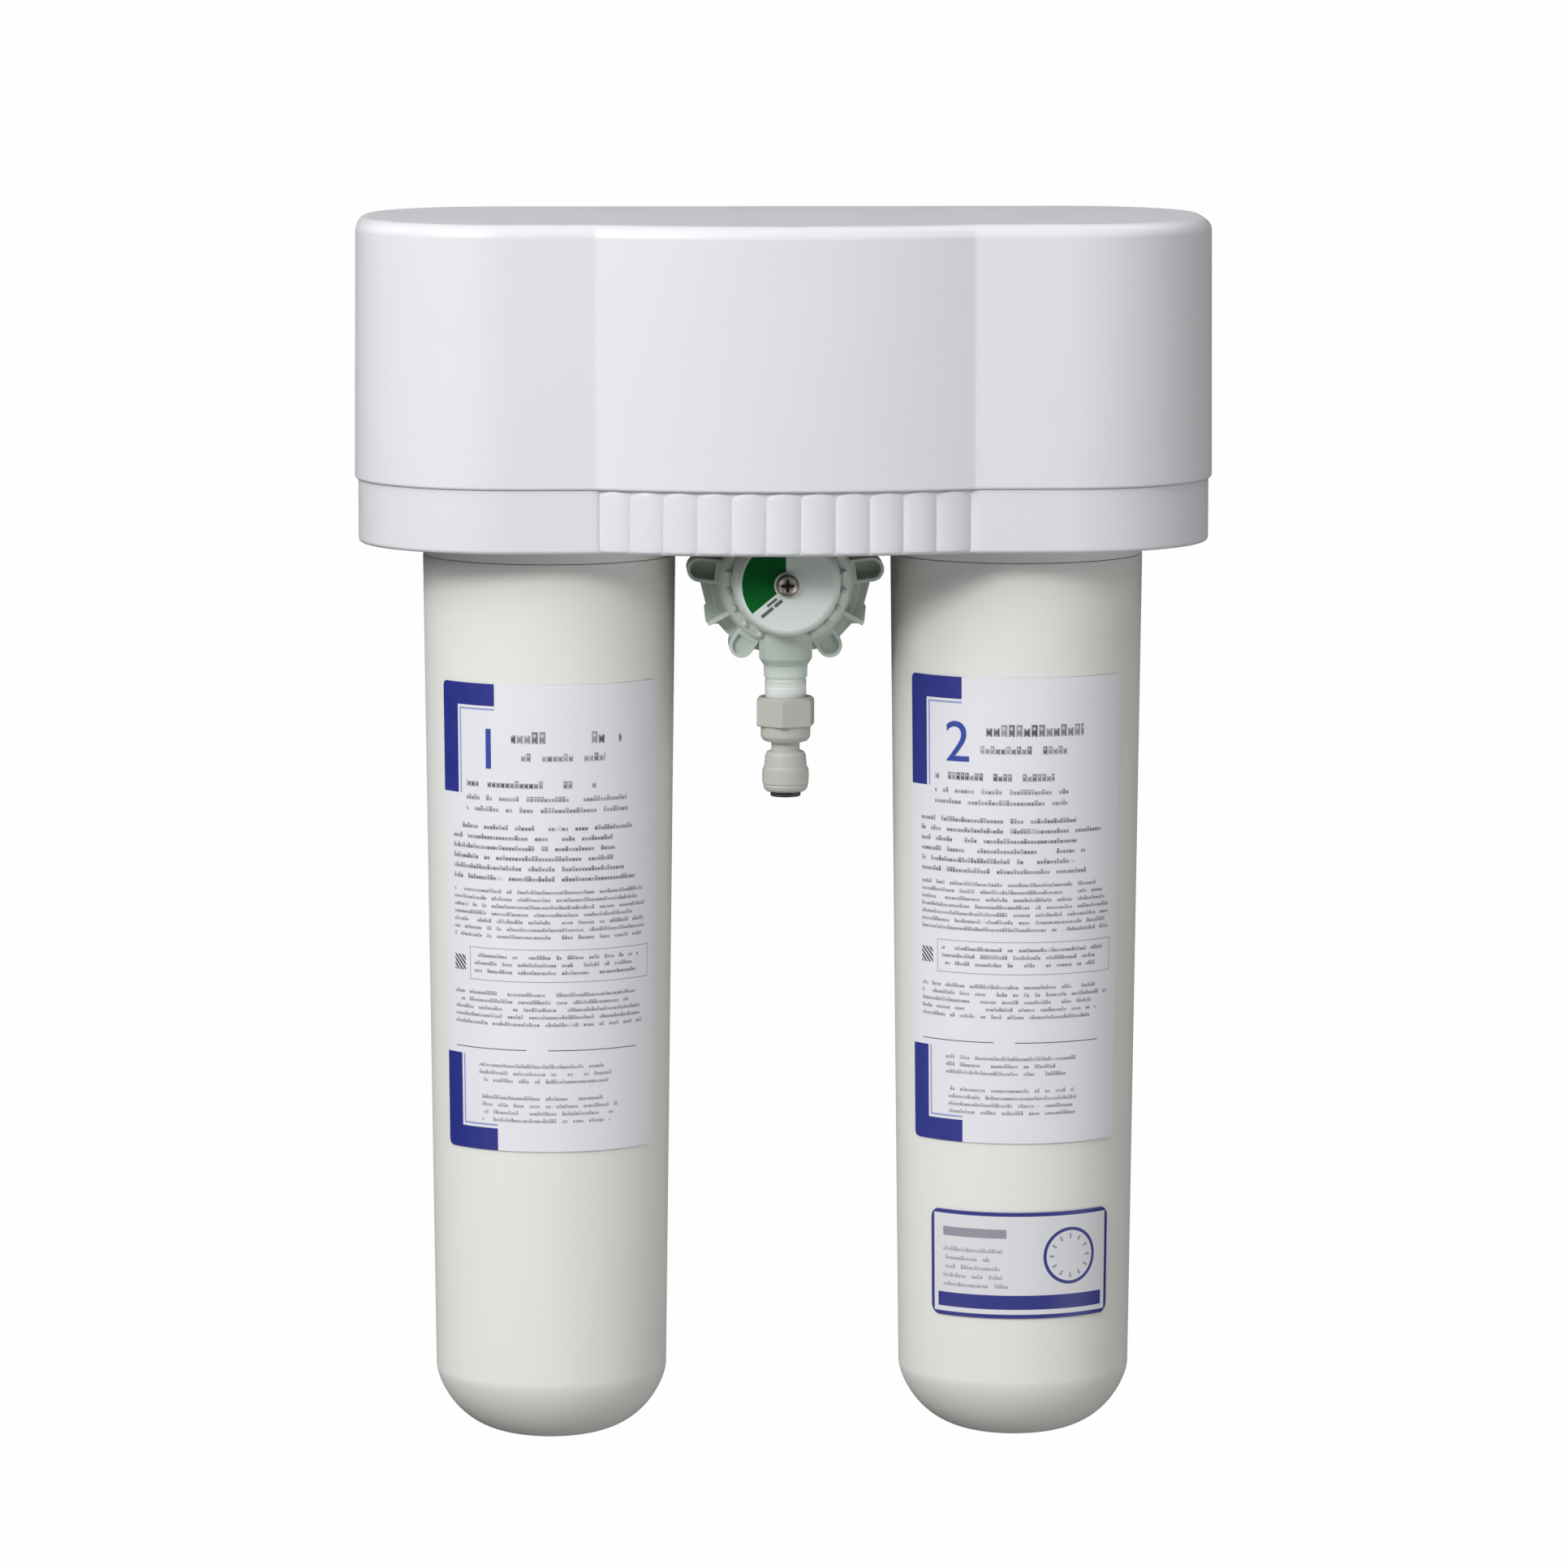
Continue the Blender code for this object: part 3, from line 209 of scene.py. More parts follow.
def metal(name, colour, roughness, streak=(1.0, 1.0, 1.0), scale=220.0, vary=0.12):
    """Plated or brushed metal: a patchy spangle and fine scratches along one direction."""
    g = Graph(name)
    patch = g.noise(scale, 4.0, 0.65)
    lines = g.noise(900.0, 3.0, 0.6, stretch=streak)
    tone = g.mix(patch, tuple(c * (1 - vary) for c in colour), tuple(min(1.0, c * (1 + vary * 0.5)) for c in colour))
    rough = g.add(g.m("MULTIPLY_ADD", patch, 0.16, roughness - 0.1), g.mul(lines, 0.08))
    set_shader(g, metallic=0.8)
    return g.finish(tone, rough, lines, 0.12, 0.00003)


# ------------------------------------------------------------------ mesh helpers


def link(name, mesh, mat):
    made = bpy.data.objects.new(name, mesh)
    bpy.context.scene.collection.objects.link(made)
    mesh.materials.clear()
    mesh.materials.append(mat)
    return made


def tidy(mesh, sharp=32.0, recalc=True):
    """Faces out, smooth, with sharp edges where they turn more than this angle."""
    shape = bmesh.new()
    shape.from_mesh(mesh)
    bmesh.ops.remove_doubles(shape, verts=shape.verts, dist=0.000002)
    if recalc:
        bmesh.ops.recalc_face_normals(shape, faces=shape.faces)
    for face in shape.faces:
        face.smooth = True
    shape.to_mesh(mesh)
    shape.free()
    mesh.set_sharp_from_angle(angle=math.radians(sharp))
    return mesh


def from_arrays(name, points, faces, mat, sharp=32.0):
    mesh = bpy.data.meshes.new(name)
    mesh.from_pydata([tuple(c * MM for c in p) for p in points], [], faces)
    tidy(mesh, sharp)
    return link(name, mesh, mat)


def level_normals(piece):
    """Weights normals by face area, so that flat faces stay flat beside their rounded edges."""
    step = piece.modifiers.new("normals", "WEIGHTED_NORMAL")
    step.keep_sharp = True
    step.weight = 80
    return piece


def fillet(points, n=5, closed=False):
    """Rounds the corners of a line of (a, b) or (a, b, radius) points."""
    out, count = [], len(points)
    for i, p in enumerate(points):
        r = p[2] if len(p) > 2 else 0.0
        if r <= 0 or (not closed and i in (0, count - 1)):
            out.append((p[0], p[1]))
            continue
        b = Vector(p[:2])
        u = Vector(points[i - 1][:2]) - b
        w = Vector(points[(i + 1) % count][:2]) - b
        lu, lw = u.length, w.length
        u /= lu
        w /= lw
        angle = math.acos(max(-1.0, min(1.0, u.dot(w))))
        if angle > math.pi - 0.02 or angle < 0.02:
            out.append((p[0], p[1]))
            continue
        reach = min(r / math.tan(angle / 2), 0.48 * min(lu, lw))
        r = reach * math.tan(angle / 2)
        start, end = b + u * reach, b + w * reach
        centre = b + (u + w).normalized() * (r / math.sin(angle / 2))
        a0 = math.atan2(start.y - centre.y, start.x - centre.x)
        a1 = math.atan2(end.y - centre.y, end.x - centre.x)
        turn = (a1 - a0 + math.pi) % (2 * math.pi) - math.pi
        for k in range(n + 1):
            a = a0 + turn * k / n
            out.append((centre.x + r * math.cos(a), centre.y + r * math.sin(a)))
    return out


def lathe(name, profile, centre, mat, axis="Z", steps=96, closed=False, n=4, sharp=32.0, level=True):
    """A turned piece from (radius, height) or (radius, height, fillet) points.

    With axis Z, centre is (x, y) and heights are z. With axis Y it is (x, z) and heights are y. With axis X it is
    (y, z) and heights are x.
    """
    line = fillet(profile, n, closed)
    points, rings = [], []
    for r, h in line:
        count = 1 if r < 1e-6 else steps
        first = len(points)
        for k in range(count):
            a = 2 * math.pi * k / steps
            c, s = r * math.cos(a), r * math.sin(a)
            if axis == "Z":
                points.append((centre[0] + c, centre[1] + s, h))
            elif axis == "Y":
                points.append((centre[0] + s, h, centre[1] - c))
            else:
                points.append((h, centre[0] + c, centre[1] + s))
        rings.append((first, count))
    faces = []
    pairs = list(zip(rings, rings[1:])) + ([(rings[-1], rings[0])] if closed else [])
    for (a, na), (b, nb) in pairs:
        for k in range(steps):
            j = (k + 1) % steps
            if na == 1 and nb == 1:
                continue
            if na == 1:
                faces.append((a, b + k, b + j))
            elif nb == 1:
                faces.append((a + k, b, a + j))
            else:
                faces.append((a + k, b + k, b + j, a + j))
    if not closed:
        for first, count in (rings[0], rings[-1]):
            if count > 1:
                faces.append(tuple(range(first, first + count)))
    made = from_arrays(name, points, faces, mat, sharp)
    return level_normals(made) if level else made


def rod(radius, low, high, centre, axis="Z", steps=48, mat=None, name="cutter"):
    return lathe(name, [(0, high), (radius, high), (radius, low), (0, low)], centre, mat or BLANK, axis, steps, level=False)


def block(low, high, mat=None, name="cutter", round_off=0.0, n=3):
    mesh = bpy.data.meshes.new(name)
    shape = bmesh.new()
    bmesh.ops.create_cube(shape, size=1.0)
    low, high = Vector(low), Vector(high)
    for v in shape.verts:
        v.co = Vector((low[i] + (v.co[i] + 0.5) * (high[i] - low[i]) for i in range(3))) * MM
    if round_off:
        bmesh.ops.bevel(shape, geom=shape.edges[:], offset=round_off * MM, segments=n, profile=0.5, affect="EDGES")
    shape.to_mesh(mesh)
    shape.free()
    tidy(mesh)
    return link(name, mesh, mat or BLANK)


def outline(name, loops, low, high, mat=None, plane="XY"):
    """A flat outline with any holes, as a plate from low to high. plane names its own two axes."""
    flat = bpy.data.curves.new(name, "CURVE")
    flat.dimensions = "2D"
    flat.fill_mode = "BOTH"
    flat.extrude = (high - low) / 2 * MM
    for points in loops:
        line = flat.splines.new("POLY")
        line.points.add(len(points) - 1)
        for point, (x, y) in zip(line.points, points):
            point.co = (x * MM, y * MM, 0, 1)
        line.use_cyclic_u = True
    maker = bpy.data.objects.new(name + "_curve", flat)
    bpy.context.scene.collection.objects.link(maker)
    bpy.context.view_layer.update()
    mesh = bpy.data.meshes.new_from_object(maker.evaluated_get(bpy.context.evaluated_depsgraph_get()))
    bpy.data.objects.remove(maker, do_unlink=True)
    middle = (low + high) / 2 * MM
    if plane == "XY":
        mesh.transform(Matrix.Translation((0, 0, middle)))
    elif plane == "XZ":
        mesh.transform(Matrix(((1, 0, 0, 0), (0, 0, 1, middle), (0, 1, 0, 0), (0, 0, 0, 1))))
    else:
        mesh.transform(Matrix(((0, 0, 1, middle), (1, 0, 0, 0), (0, 1, 0, 0), (0, 0, 0, 1))))
    shape = bmesh.new()
    shape.from_mesh(mesh)
    bmesh.ops.remove_doubles(shape, verts=shape.verts, dist=0.000005)
    bmesh.ops.dissolve_limit(shape, angle_limit=0.002, verts=shape.verts, edges=shape.edges)
    shape.to_mesh(mesh)
    shape.free()
    tidy(mesh)
    return link(name, mesh, mat or BLANK)


def bake(piece):
    """Replaces a piece's mesh with the one that its modifiers make."""
    bpy.context.view_layer.update()
    mesh = bpy.data.meshes.new_from_object(piece.evaluated_get(bpy.context.evaluated_depsgraph_get()))
    piece.modifiers.clear()
    piece.data = mesh
    return piece


def combine(piece, *steps, sharp=32.0, level=True):
    """Boolean steps on a piece: (tool, "cut" or "join"). The tools are used up."""
    mat = piece.data.materials[0]
    piece.modifiers.clear()
    for tool, kind in steps:
        tool.modifiers.clear()
        tool.data.materials.clear()
        tool.data.materials.append(mat)
        step = piece.modifiers.new("step", "BOOLEAN")
        step.operation = "DIFFERENCE" if kind == "cut" else "UNION"
        step.solver = "EXACT"
        step.object = tool
    bake(piece)
    for tool, _ in steps:
        bpy.data.objects.remove(tool, do_unlink=True)
    tidy(piece.data, sharp, recalc=False)
    while len(piece.data.materials) > 1:
        piece.data.materials.pop()
    for face in piece.data.polygons:
        face.material_index = 0
    return level_normals(piece) if level else piece


def soften(piece, width, segments=2, angle=40.0):
    step = piece.modifiers.new("edges", "BEVEL")
    step.width = width * MM
    step.segments = segments
    step.limit_method = "ANGLE"
    step.angle_limit = math.radians(angle)
    step.harden_normals = False
    bake(piece)
    tidy(piece.data, 32.0, recalc=False)
    return level_normals(piece)


def dress(piece, body, slot, *nodes):
    """Makes a piece ride on its body and stand for its nodes, which it hides. Its slot is not used."""
    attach(piece, body)
    if nodes:
        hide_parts(*nodes)
    return piece


def arc(cx, cy, r, a0, a1, n):
    return [
        (cx + r * math.cos(math.radians(a0 + (a1 - a0) * i / n)), cy + r * math.sin(math.radians(a0 + (a1 - a0) * i / n)))
        for i in range(n + 1)
    ]


# ------------------------------------------------------------------ materials

BLANK = bpy.data.materials.new("tool")

HOOD = plastic("hood_white", (0.770, 0.769, 0.804), 0.40, vary=0.012, grain=1300.0, strength=0.05, subsurface=0.35,
               radius=(1.0, 0.95, 0.95), depth=0.0009)
BAND = plastic("band_white", (0.752, 0.753, 0.790), 0.42, vary=0.014, grain=1300.0, strength=0.05, subsurface=0.35,
               radius=(1.0, 0.95, 0.95), depth=0.0009)
IVORY = plastic("cartridge_ivory", (0.806, 0.811, 0.772), 0.50, vary=0.02, grain=1100.0, strength=0.10,
                streak=(1.0, 1.0, 0.25), subsurface=0.08, radius=(1.0, 0.98, 0.9), depth=0.003)
HEAD = plastic("head_grey", (0.50, 0.51, 0.52), 0.48, vary=0.05, grain=900.0, strength=0.14)
ROTOR = plastic("rotor_acetal", (0.72, 0.72, 0.70), 0.42, vary=0.03)
GEAR = plastic("gear_acetal", (0.80, 0.80, 0.75), 0.42, vary=0.03, subsurface=0.1, depth=0.002)
FITTING = plastic("fitting_grey", (0.500, 0.497, 0.455), 0.46, vary=0.03, grain=1500.0, strength=0.10, subsurface=0.05,
                  depth=0.002)
COLLET = plastic("collet_dark", (0.042, 0.043, 0.039), 0.45, vary=0.08)
TUBE = plastic("tube_white", (0.80, 0.81, 0.82), 0.38, vary=0.02, subsurface=0.2, depth=0.003)
RUBBER = plastic("rubber_black", (0.018, 0.018, 0.018), 0.62, vary=0.15, grain=1200.0, strength=0.2)
CARBON = plastic("carbon_black", (0.03, 0.03, 0.031), 0.92, vary=0.4, grain=700.0, strength=0.8, distance=0.0003)


def meter_material():
    """Milky green moulding, with painted shade on its set-back faces in the upper half, a painted shadow of the dial
    across the neck's top, and a painted glow where the outlet's neck meets the fitting.
    """
    g = Graph("meter_green")
    slow = g.noise(26.0, 2.0, 0.5)
    cloud = g.noise(150.0, 3.0, 0.6)
    fine = g.noise(900.0, 3.0, 0.6)
    _, y, z = g.split(g.object_point())
    py, pz = g.mul(y, 1000.0), g.mul(z, 1000.0)
    tone = g.mix(slow, (0.670, 0.742, 0.675), (0.715, 0.785, 0.718))
    tone = g.mix(g.mul(cloud, 0.35), tone, (0.640, 0.735, 0.655))
    # Painted shade: faces set back from the front in the upper half, such as the arms' pockets and the parts under the
    # band, are darkened.
    deep = g.mul(g.edge(py, -81.5, 3.0), g.edge(pz, -75.5, 3.0))
    tone = g.mix(g.mul(deep, 0.55), tone, (0.470, 0.560, 0.480))
    # Painted shadow: the dial's shadow on the front of the neck's top, mottled by the cloud noise.
    root = g.all(g.below(py, -86.0, 2.0), g.edge(pz, -92.2, 3.0), g.below(pz, -83.0, 2.0))
    tone = g.mix(g.mul(root, g.m("MULTIPLY_ADD", cloud, 0.7, 0.25)), tone, (0.400, 0.470, 0.405))
    # Painted glow: the lowest part of the neck, just above the fitting, is made paler.
    pale = g.mul(g.below(pz, -97.6, 1.8), 0.75)
    tone = g.mix(pale, tone, (0.900, 0.925, 0.905))
    set_shader(g, transmission=0.12, subsurface=0.30, radius=(0.9, 1.0, 0.9), depth=0.004, ior=1.49)
    return g.finish(tone, g.m("MULTIPLY_ADD", slow, 0.10, 0.33), fine, 0.10, 0.00004)


METER = meter_material()
STEEL = metal("bracket_steel", (0.66, 0.67, 0.69), 0.38, streak=(0.02, 1.0, 1.0), scale=160.0)
ZINC = metal("zinc_steel", (0.68, 0.68, 0.69), 0.34)


def dull_screw():
    """Dull plated screw, with painted shade in its cross recess and round the edge of its head."""
    g = Graph("dial_screw_steel")
    patch = g.noise(900.0, 4.0, 0.65)
    fine = g.noise(1800.0, 3.0, 0.6)
    x, y, z = g.split(g.object_point())
    px, pz = g.mul(x, 1000.0), g.sub(g.mul(z, 1000.0), METER_Z)
    away = g.m("SQRT", g.add(g.mul(px, px), g.mul(pz, pz)))
    # Painted shade: the cross recess deep in the head and a ring round the head's edge are darkened.
    deep = g.mul(g.edge(g.mul(y, 1000.0), DIAL_FACE_Y - 2.7, 0.4), g.below(away, 2.25, 0.25))
    rim_shade = g.mul(g.edge(away, 3.2, 0.4), 0.7)
    tone = g.mix(patch, (0.30, 0.27, 0.23), (0.56, 0.52, 0.45))
    tone = g.mix(g.any(deep, rim_shade), tone, (0.095, 0.078, 0.062))
    set_shader(g, metallic=0.85)
    return g.finish(tone, g.m("MULTIPLY_ADD", patch, 0.18, 0.30), fine, 0.15, 0.00003)


DULL = dull_screw()

# ------------------------------------------------------------------ the hood's plan


def plan_line(corner=28, bow=72):
    """The hood's outline seen from above with outward normals: (x, y, nx, ny, place on the bow 0 to 1 or None)."""
    r = (PANEL_HALF ** 2 + BULGE ** 2) / (2 * BULGE)
    cy = FRONT_Y - BULGE + r
    soft = 3.0  # the crease's own radius
    fx = math.sqrt((r + soft) ** 2 - (cy - FRONT_Y + soft) ** 2)
    lean = math.atan2(fx, cy - FRONT_Y + soft)
    line = []
    for k in range(5):  # left crease
        a = -lean * k / 4
        line.append((BOW_X - fx - soft * math.sin(a), FRONT_Y - soft + soft * math.cos(a), math.sin(a), -math.cos(a), None))
    for i in range(bow + 1):
        a = lean * (2 * i / bow - 1)
        line.append((BOW_X + r * math.sin(a), cy - r * math.cos(a), math.sin(a), -math.cos(a), i / bow))
    for k in range(4, -1, -1):  # right crease
        a = lean * k / 4
        line.append((BOW_X + fx - soft * math.sin(a), FRONT_Y - soft + soft * math.cos(a), math.sin(a), -math.cos(a), None))
    for x in np.linspace(BOW_X + fx, HALF_WIDTH - FRONT_R, 6)[1:-1]:
        line.append((float(x), FRONT_Y, 0.0, -1.0, None))
    corners = (
        (HALF_WIDTH - FRONT_R, FRONT_Y + FRONT_R, FRONT_R, -90), (HALF_WIDTH - BACK_R, BACK_Y - BACK_R, BACK_R, 0),
        (-HALF_WIDTH + BACK_R, BACK_Y - BACK_R, BACK_R, 90), (-HALF_WIDTH + FRONT_R, FRONT_Y + FRONT_R, FRONT_R, 180),
    )
    for cx, cy2, rr, a0 in corners:
        for i in range(corner + 1):
            a = math.radians(a0 + 90 * i / corner)
            line.append((cx + rr * math.cos(a), cy2 + rr * math.sin(a), math.cos(a), math.sin(a), None))
        if a0 == 0:
            for x in np.linspace(HALF_WIDTH - BACK_R, -HALF_WIDTH + BACK_R, 14)[1:-1]:
                line.append((float(x), BACK_Y, 0.0, 1.0, None))
    for x in np.linspace(-HALF_WIDTH + FRONT_R, -fx, 6)[1:-1]:
        line.append((float(x), FRONT_Y, 0.0, -1.0, None))
    return line


def skin(name, line, levels, mat, shift=None, sharp=32.0):
    """A closed body from an outline carried through (inset, z) levels, capped at both ends."""
    count = len(line)
    points = []
    for inset, z in levels:
        for i, (x, y, nx, ny, _) in enumerate(line):
            d = inset + (shift(i, inset, z) if shift else 0.0)
            points.append((x - nx * d, y - ny * d, z))
    faces = []
    for level in range(len(levels) - 1):
        a, b = level * count, (level + 1) * count
        for k in range(count):
            j = (k + 1) % count
            faces.append((a + k, b + k, b + j, a + j))
    faces.append(tuple(range(count)))
    faces.append(tuple(range((len(levels) - 1) * count, len(levels) * count)))
    return from_arrays(name, points, faces, mat, sharp)


# ------------------------------------------------------------------ hood

line = plan_line()
levels = fillet(
    [(13.0, TOP_Z), (0.55, TOP_Z, 4.5), (0.0, SEAM_Z, 0.95), (WALL, SEAM_Z, 0.4), (WALL + 0.5, TOP_Z - 3.0, 2.0),
     (13.0, TOP_Z - 3.0)], 8,
)
hood = skin("hood", line, levels, HOOD)
combine(hood, (block((-105, -7.5, -45), (105, 6, 46.8)), "cut"))
dress(hood, "hood", "hood_white", "top_cover")

# ------------------------------------------------------------------ lower band


def pillow(t, power=2.6):
    """Full in the middle and zero at both ends of 0 to 1."""
    return max(0.0, 1.0 - abs(2 * t - 1) ** power) ** (1 / power)


def flute_line():
    """The band's outline with points gathered at the valleys between its flutes."""
    r = (PANEL_HALF ** 2 + BULGE ** 2) / (2 * BULGE)
    base = plan_line(corner=24, bow=2)
    bow = [p for p in base if p[4] is not None]
    lean = math.asin(bow[-1][2])
    cy = FRONT_Y - BULGE + r
    out = []
    done = False
    for p in base:
        if p[4] is None:
            out.append((*p[:4], None))
        elif not done:
            done = True
            per = 24
            for f in range(FLUTES):
                for step in range(per + (1 if f == FLUTES - 1 else 0)):
                    t = 0.5 - 0.5 * math.cos(math.pi * step / per)
                    spots = [2 * k / FLUTES - 1 + (FLUTE_X / PANEL_HALF if 0 < k < FLUTES else 0.0) for k in (f, f + 1)]
                    a = lean * (spots[0] + (spots[1] - spots[0]) * t)
                    out.append((BOW_X + r * math.sin(a), cy - r * math.cos(a), math.sin(a), -math.cos(a), (f, t)))
    return out


flute_points = flute_line()
flute_top, flute_low = SEAM_Z - 0.4, LOW_Z + 0.35
edge_x = max(p[0] for p in flute_points if p[4] is not None) - BOW_X


def rounded(reach, gap):
    """Half a flute's width as a share of the full half width, this far in from its end."""
    if gap >= reach:
        return 1.0
    half = PANEL_HALF / FLUTES
    return (half - reach + math.sqrt(max(0.0, reach ** 2 - (reach - max(0.0, gap)) ** 2))) / half


def flute_shift(i, inset, z):
    """How far the outer face sinks in below its crests."""
    x, y, nx, ny, spot = flute_points[i]
    if inset > 3.0:
        return 0.0
    if spot is not None:
        f, t = spot
        high, low = max(0.0, flute_top - z), max(0.0, z - flute_low)
        share = abs(2 * t - 1) / min(rounded(3.0, high), rounded(2.0, low))
        crown = 0.1 if f == 0 and t < 0.5 else 0.75  # the first flute starts level with the flat beside it
        across = crown * (1.0 - share ** 2.0) + (1 - crown) * (1.0 - share ** 6.0) if share < 1 else 0.0
        ends = (0.66 + 0.34 * pillow(min(0.5, high / 1.6 * 0.5), 2.0)) * (0.3 + 0.7 * pillow(min(0.5, low / 1.0 * 0.5), 2.0))
        return FLUTE_DEPTH * (1 - across * ends)
    reach = 1.8 if x < BOW_X else 3.2
    if y < FRONT_Y + 0.5 and abs(x - BOW_X) < edge_x + reach:
        t = (abs(x - BOW_X) - edge_x) / reach
        return FLUTE_DEPTH * (1 - pillow(min(0.5, max(0.0, t) * 0.5), 2.2))
    return 0.0


# Extra points on the flats beside the first and last flutes, where their edges round into the valleys.
extra = []
for i, p in enumerate(flute_points):
    extra.append(p)
flute_points = []
for i, p in enumerate(extra):
    q = extra[(i + 1) % len(extra)]
    flute_points.append(p)
    if p[4] is None and q[4] is None and abs(p[1] - FRONT_Y) < 1e-6 and abs(q[1] - FRONT_Y) < 1e-6 and abs(p[0] - q[0]) > 3:
        for s in (0.12, 0.3, 0.5, 0.75):
            flute_points.append((p[0] + (q[0] - p[0]) * s, p[1], 0.0, -1.0, None))

outer = fillet([(3.2, SEAM_Z - 0.1), (BAND_INSET, SEAM_Z - 0.1, 0.25), (BAND_INSET, LOW_Z, 1.3), (16.0, LOW_Z)], 6)
tops = [p for p in outer if p[1] > -34.0]
lows = [p for p in outer if p[1] <= -34.0]
walls = [(BAND_INSET, flute_top - d) for d in (0.08, 0.2, 0.36, 0.55, 0.8, 1.1, 1.45, 1.9, 2.5, 4.5, 8.0, 12.0)]
walls += [(BAND_INSET, flute_low + d) for d in (4.0, 2.4, 1.9, 1.5, 1.2)]
walls = [w for w in walls if tops[-1][1] - 0.05 > w[1] > lows[0][1] + 0.05]
levels = fillet([(5.2, -25.0), (3.2, -25.0, 0.5), (3.2, SEAM_Z - 0.2)], 3) + tops + walls + lows
levels += fillet([(16.0, LOW_Z), (16.0, LOW_Z + 1.4), (16.0, LOW_Z + 2.8), (5.2, LOW_Z + 2.8, 0.8), (5.2, -25.0)], 3)[1:]


count = len(flute_points)
points, faces = [], []
low_ring = None
for level, (inset, z) in enumerate(levels):
    for i, (x, y, nx, ny, _) in enumerate(flute_points):
        d = inset + flute_shift(i, inset, z)
        points.append((x - nx * d, y - ny * d, z))
flat_low = max(i for i, p in enumerate(levels) if abs(p[1] - LOW_Z) < 1e-6)
flat_high = min(i for i, p in enumerate(levels) if i > flat_low and abs(p[1] - (LOW_Z + 2.8)) < 1e-6)
for level in range(len(levels) - 1):
    if flat_low <= level < flat_high:
        continue
    a, b = level * count, (level + 1) * count
    for k in range(count):
        j = (k + 1) % count
        faces.append((a + k, b + k, b + j, a + j))
faces.append(tuple(range(flat_low * count, (flat_low + 1) * count)))
faces.append(tuple(range(flat_high * count, (flat_high + 1) * count)))
mesh = bpy.data.meshes.new("lower_band")
mesh.from_pydata([tuple(c * MM for c in p) for p in points], [], faces)
shape = bmesh.new()
shape.from_mesh(mesh)
bmesh.ops.delete(shape, geom=[v for v in shape.verts if not v.link_faces], context="VERTS")
bmesh.ops.remove_doubles(shape, verts=shape.verts, dist=0.000002)
bmesh.ops.recalc_face_normals(shape, faces=shape.faces)
shape.to_mesh(mesh)
shape.free()
tidy(mesh, 38.0)
lower_band = link("lower_band", mesh, BAND)
holes = [(rod(42.0, -60, -40, (x, AXIS_Y), steps=96), "cut") for x in (-AXIS_X, AXIS_X)]
holes.append((block((-30, -108, -60), (30, -68.5, -40), round_off=2.0), "cut"))
holes.append((rod(8.5, -60, -40, (0, INLET_Y), steps=48), "cut"))
holes += [(rod(2.2, -12, 3, (x, -40.0), "Y", 24), "cut") for x in (-60.0, 60.0)]
holes += [(rod(1.7, -60, -40, (x, -61.0), steps=20), "cut") for x in (-17.0, 17.0)]
combine(lower_band, *holes, sharp=38.0)
dress(lower_band, "root", "band_white", "base_housing")

# ------------------------------------------------------------------ cartridges


def shell_radius(z):
    share = (z - (RING_Z - 0.2)) / (DOME_Z - (RING_Z - 0.2))
    return SHELL_TOP_R + (SHELL_LOW_R - SHELL_TOP_R) * share


def dome(radius, start, bottom, n):
    return [
        (radius * math.cos(math.pi / 2 * i / n) ** (2 / 3.2) if i < n else 0.0,
         start - (start - bottom) * math.sin(math.pi / 2 * i / n) ** (2 / 1.45))
        for i in range(n + 1)
    ]


def dome_even(radius, start, bottom, n):
    """The dome's curve with its points spread evenly along it."""
    dense = dome(radius, start, bottom, 600)
    length = [0.0]
    for a, b in zip(dense, dense[1:]):
        length.append(length[-1] + math.hypot(a[0] - b[0], a[1] - b[1]))
    out, at = [], 0
    for i in range(n + 1):
        want = length[-1] * i / n
        while at < len(dense) - 2 and length[at + 1] < want:
            at += 1
        share = (want - length[at]) / max(1e-9, length[at + 1] - length[at])
        out.append(tuple(dense[at][k] + (dense[at + 1][k] - dense[at][k]) * share for k in (0, 1)))
    out[-1] = (0.0, bottom)
    return out


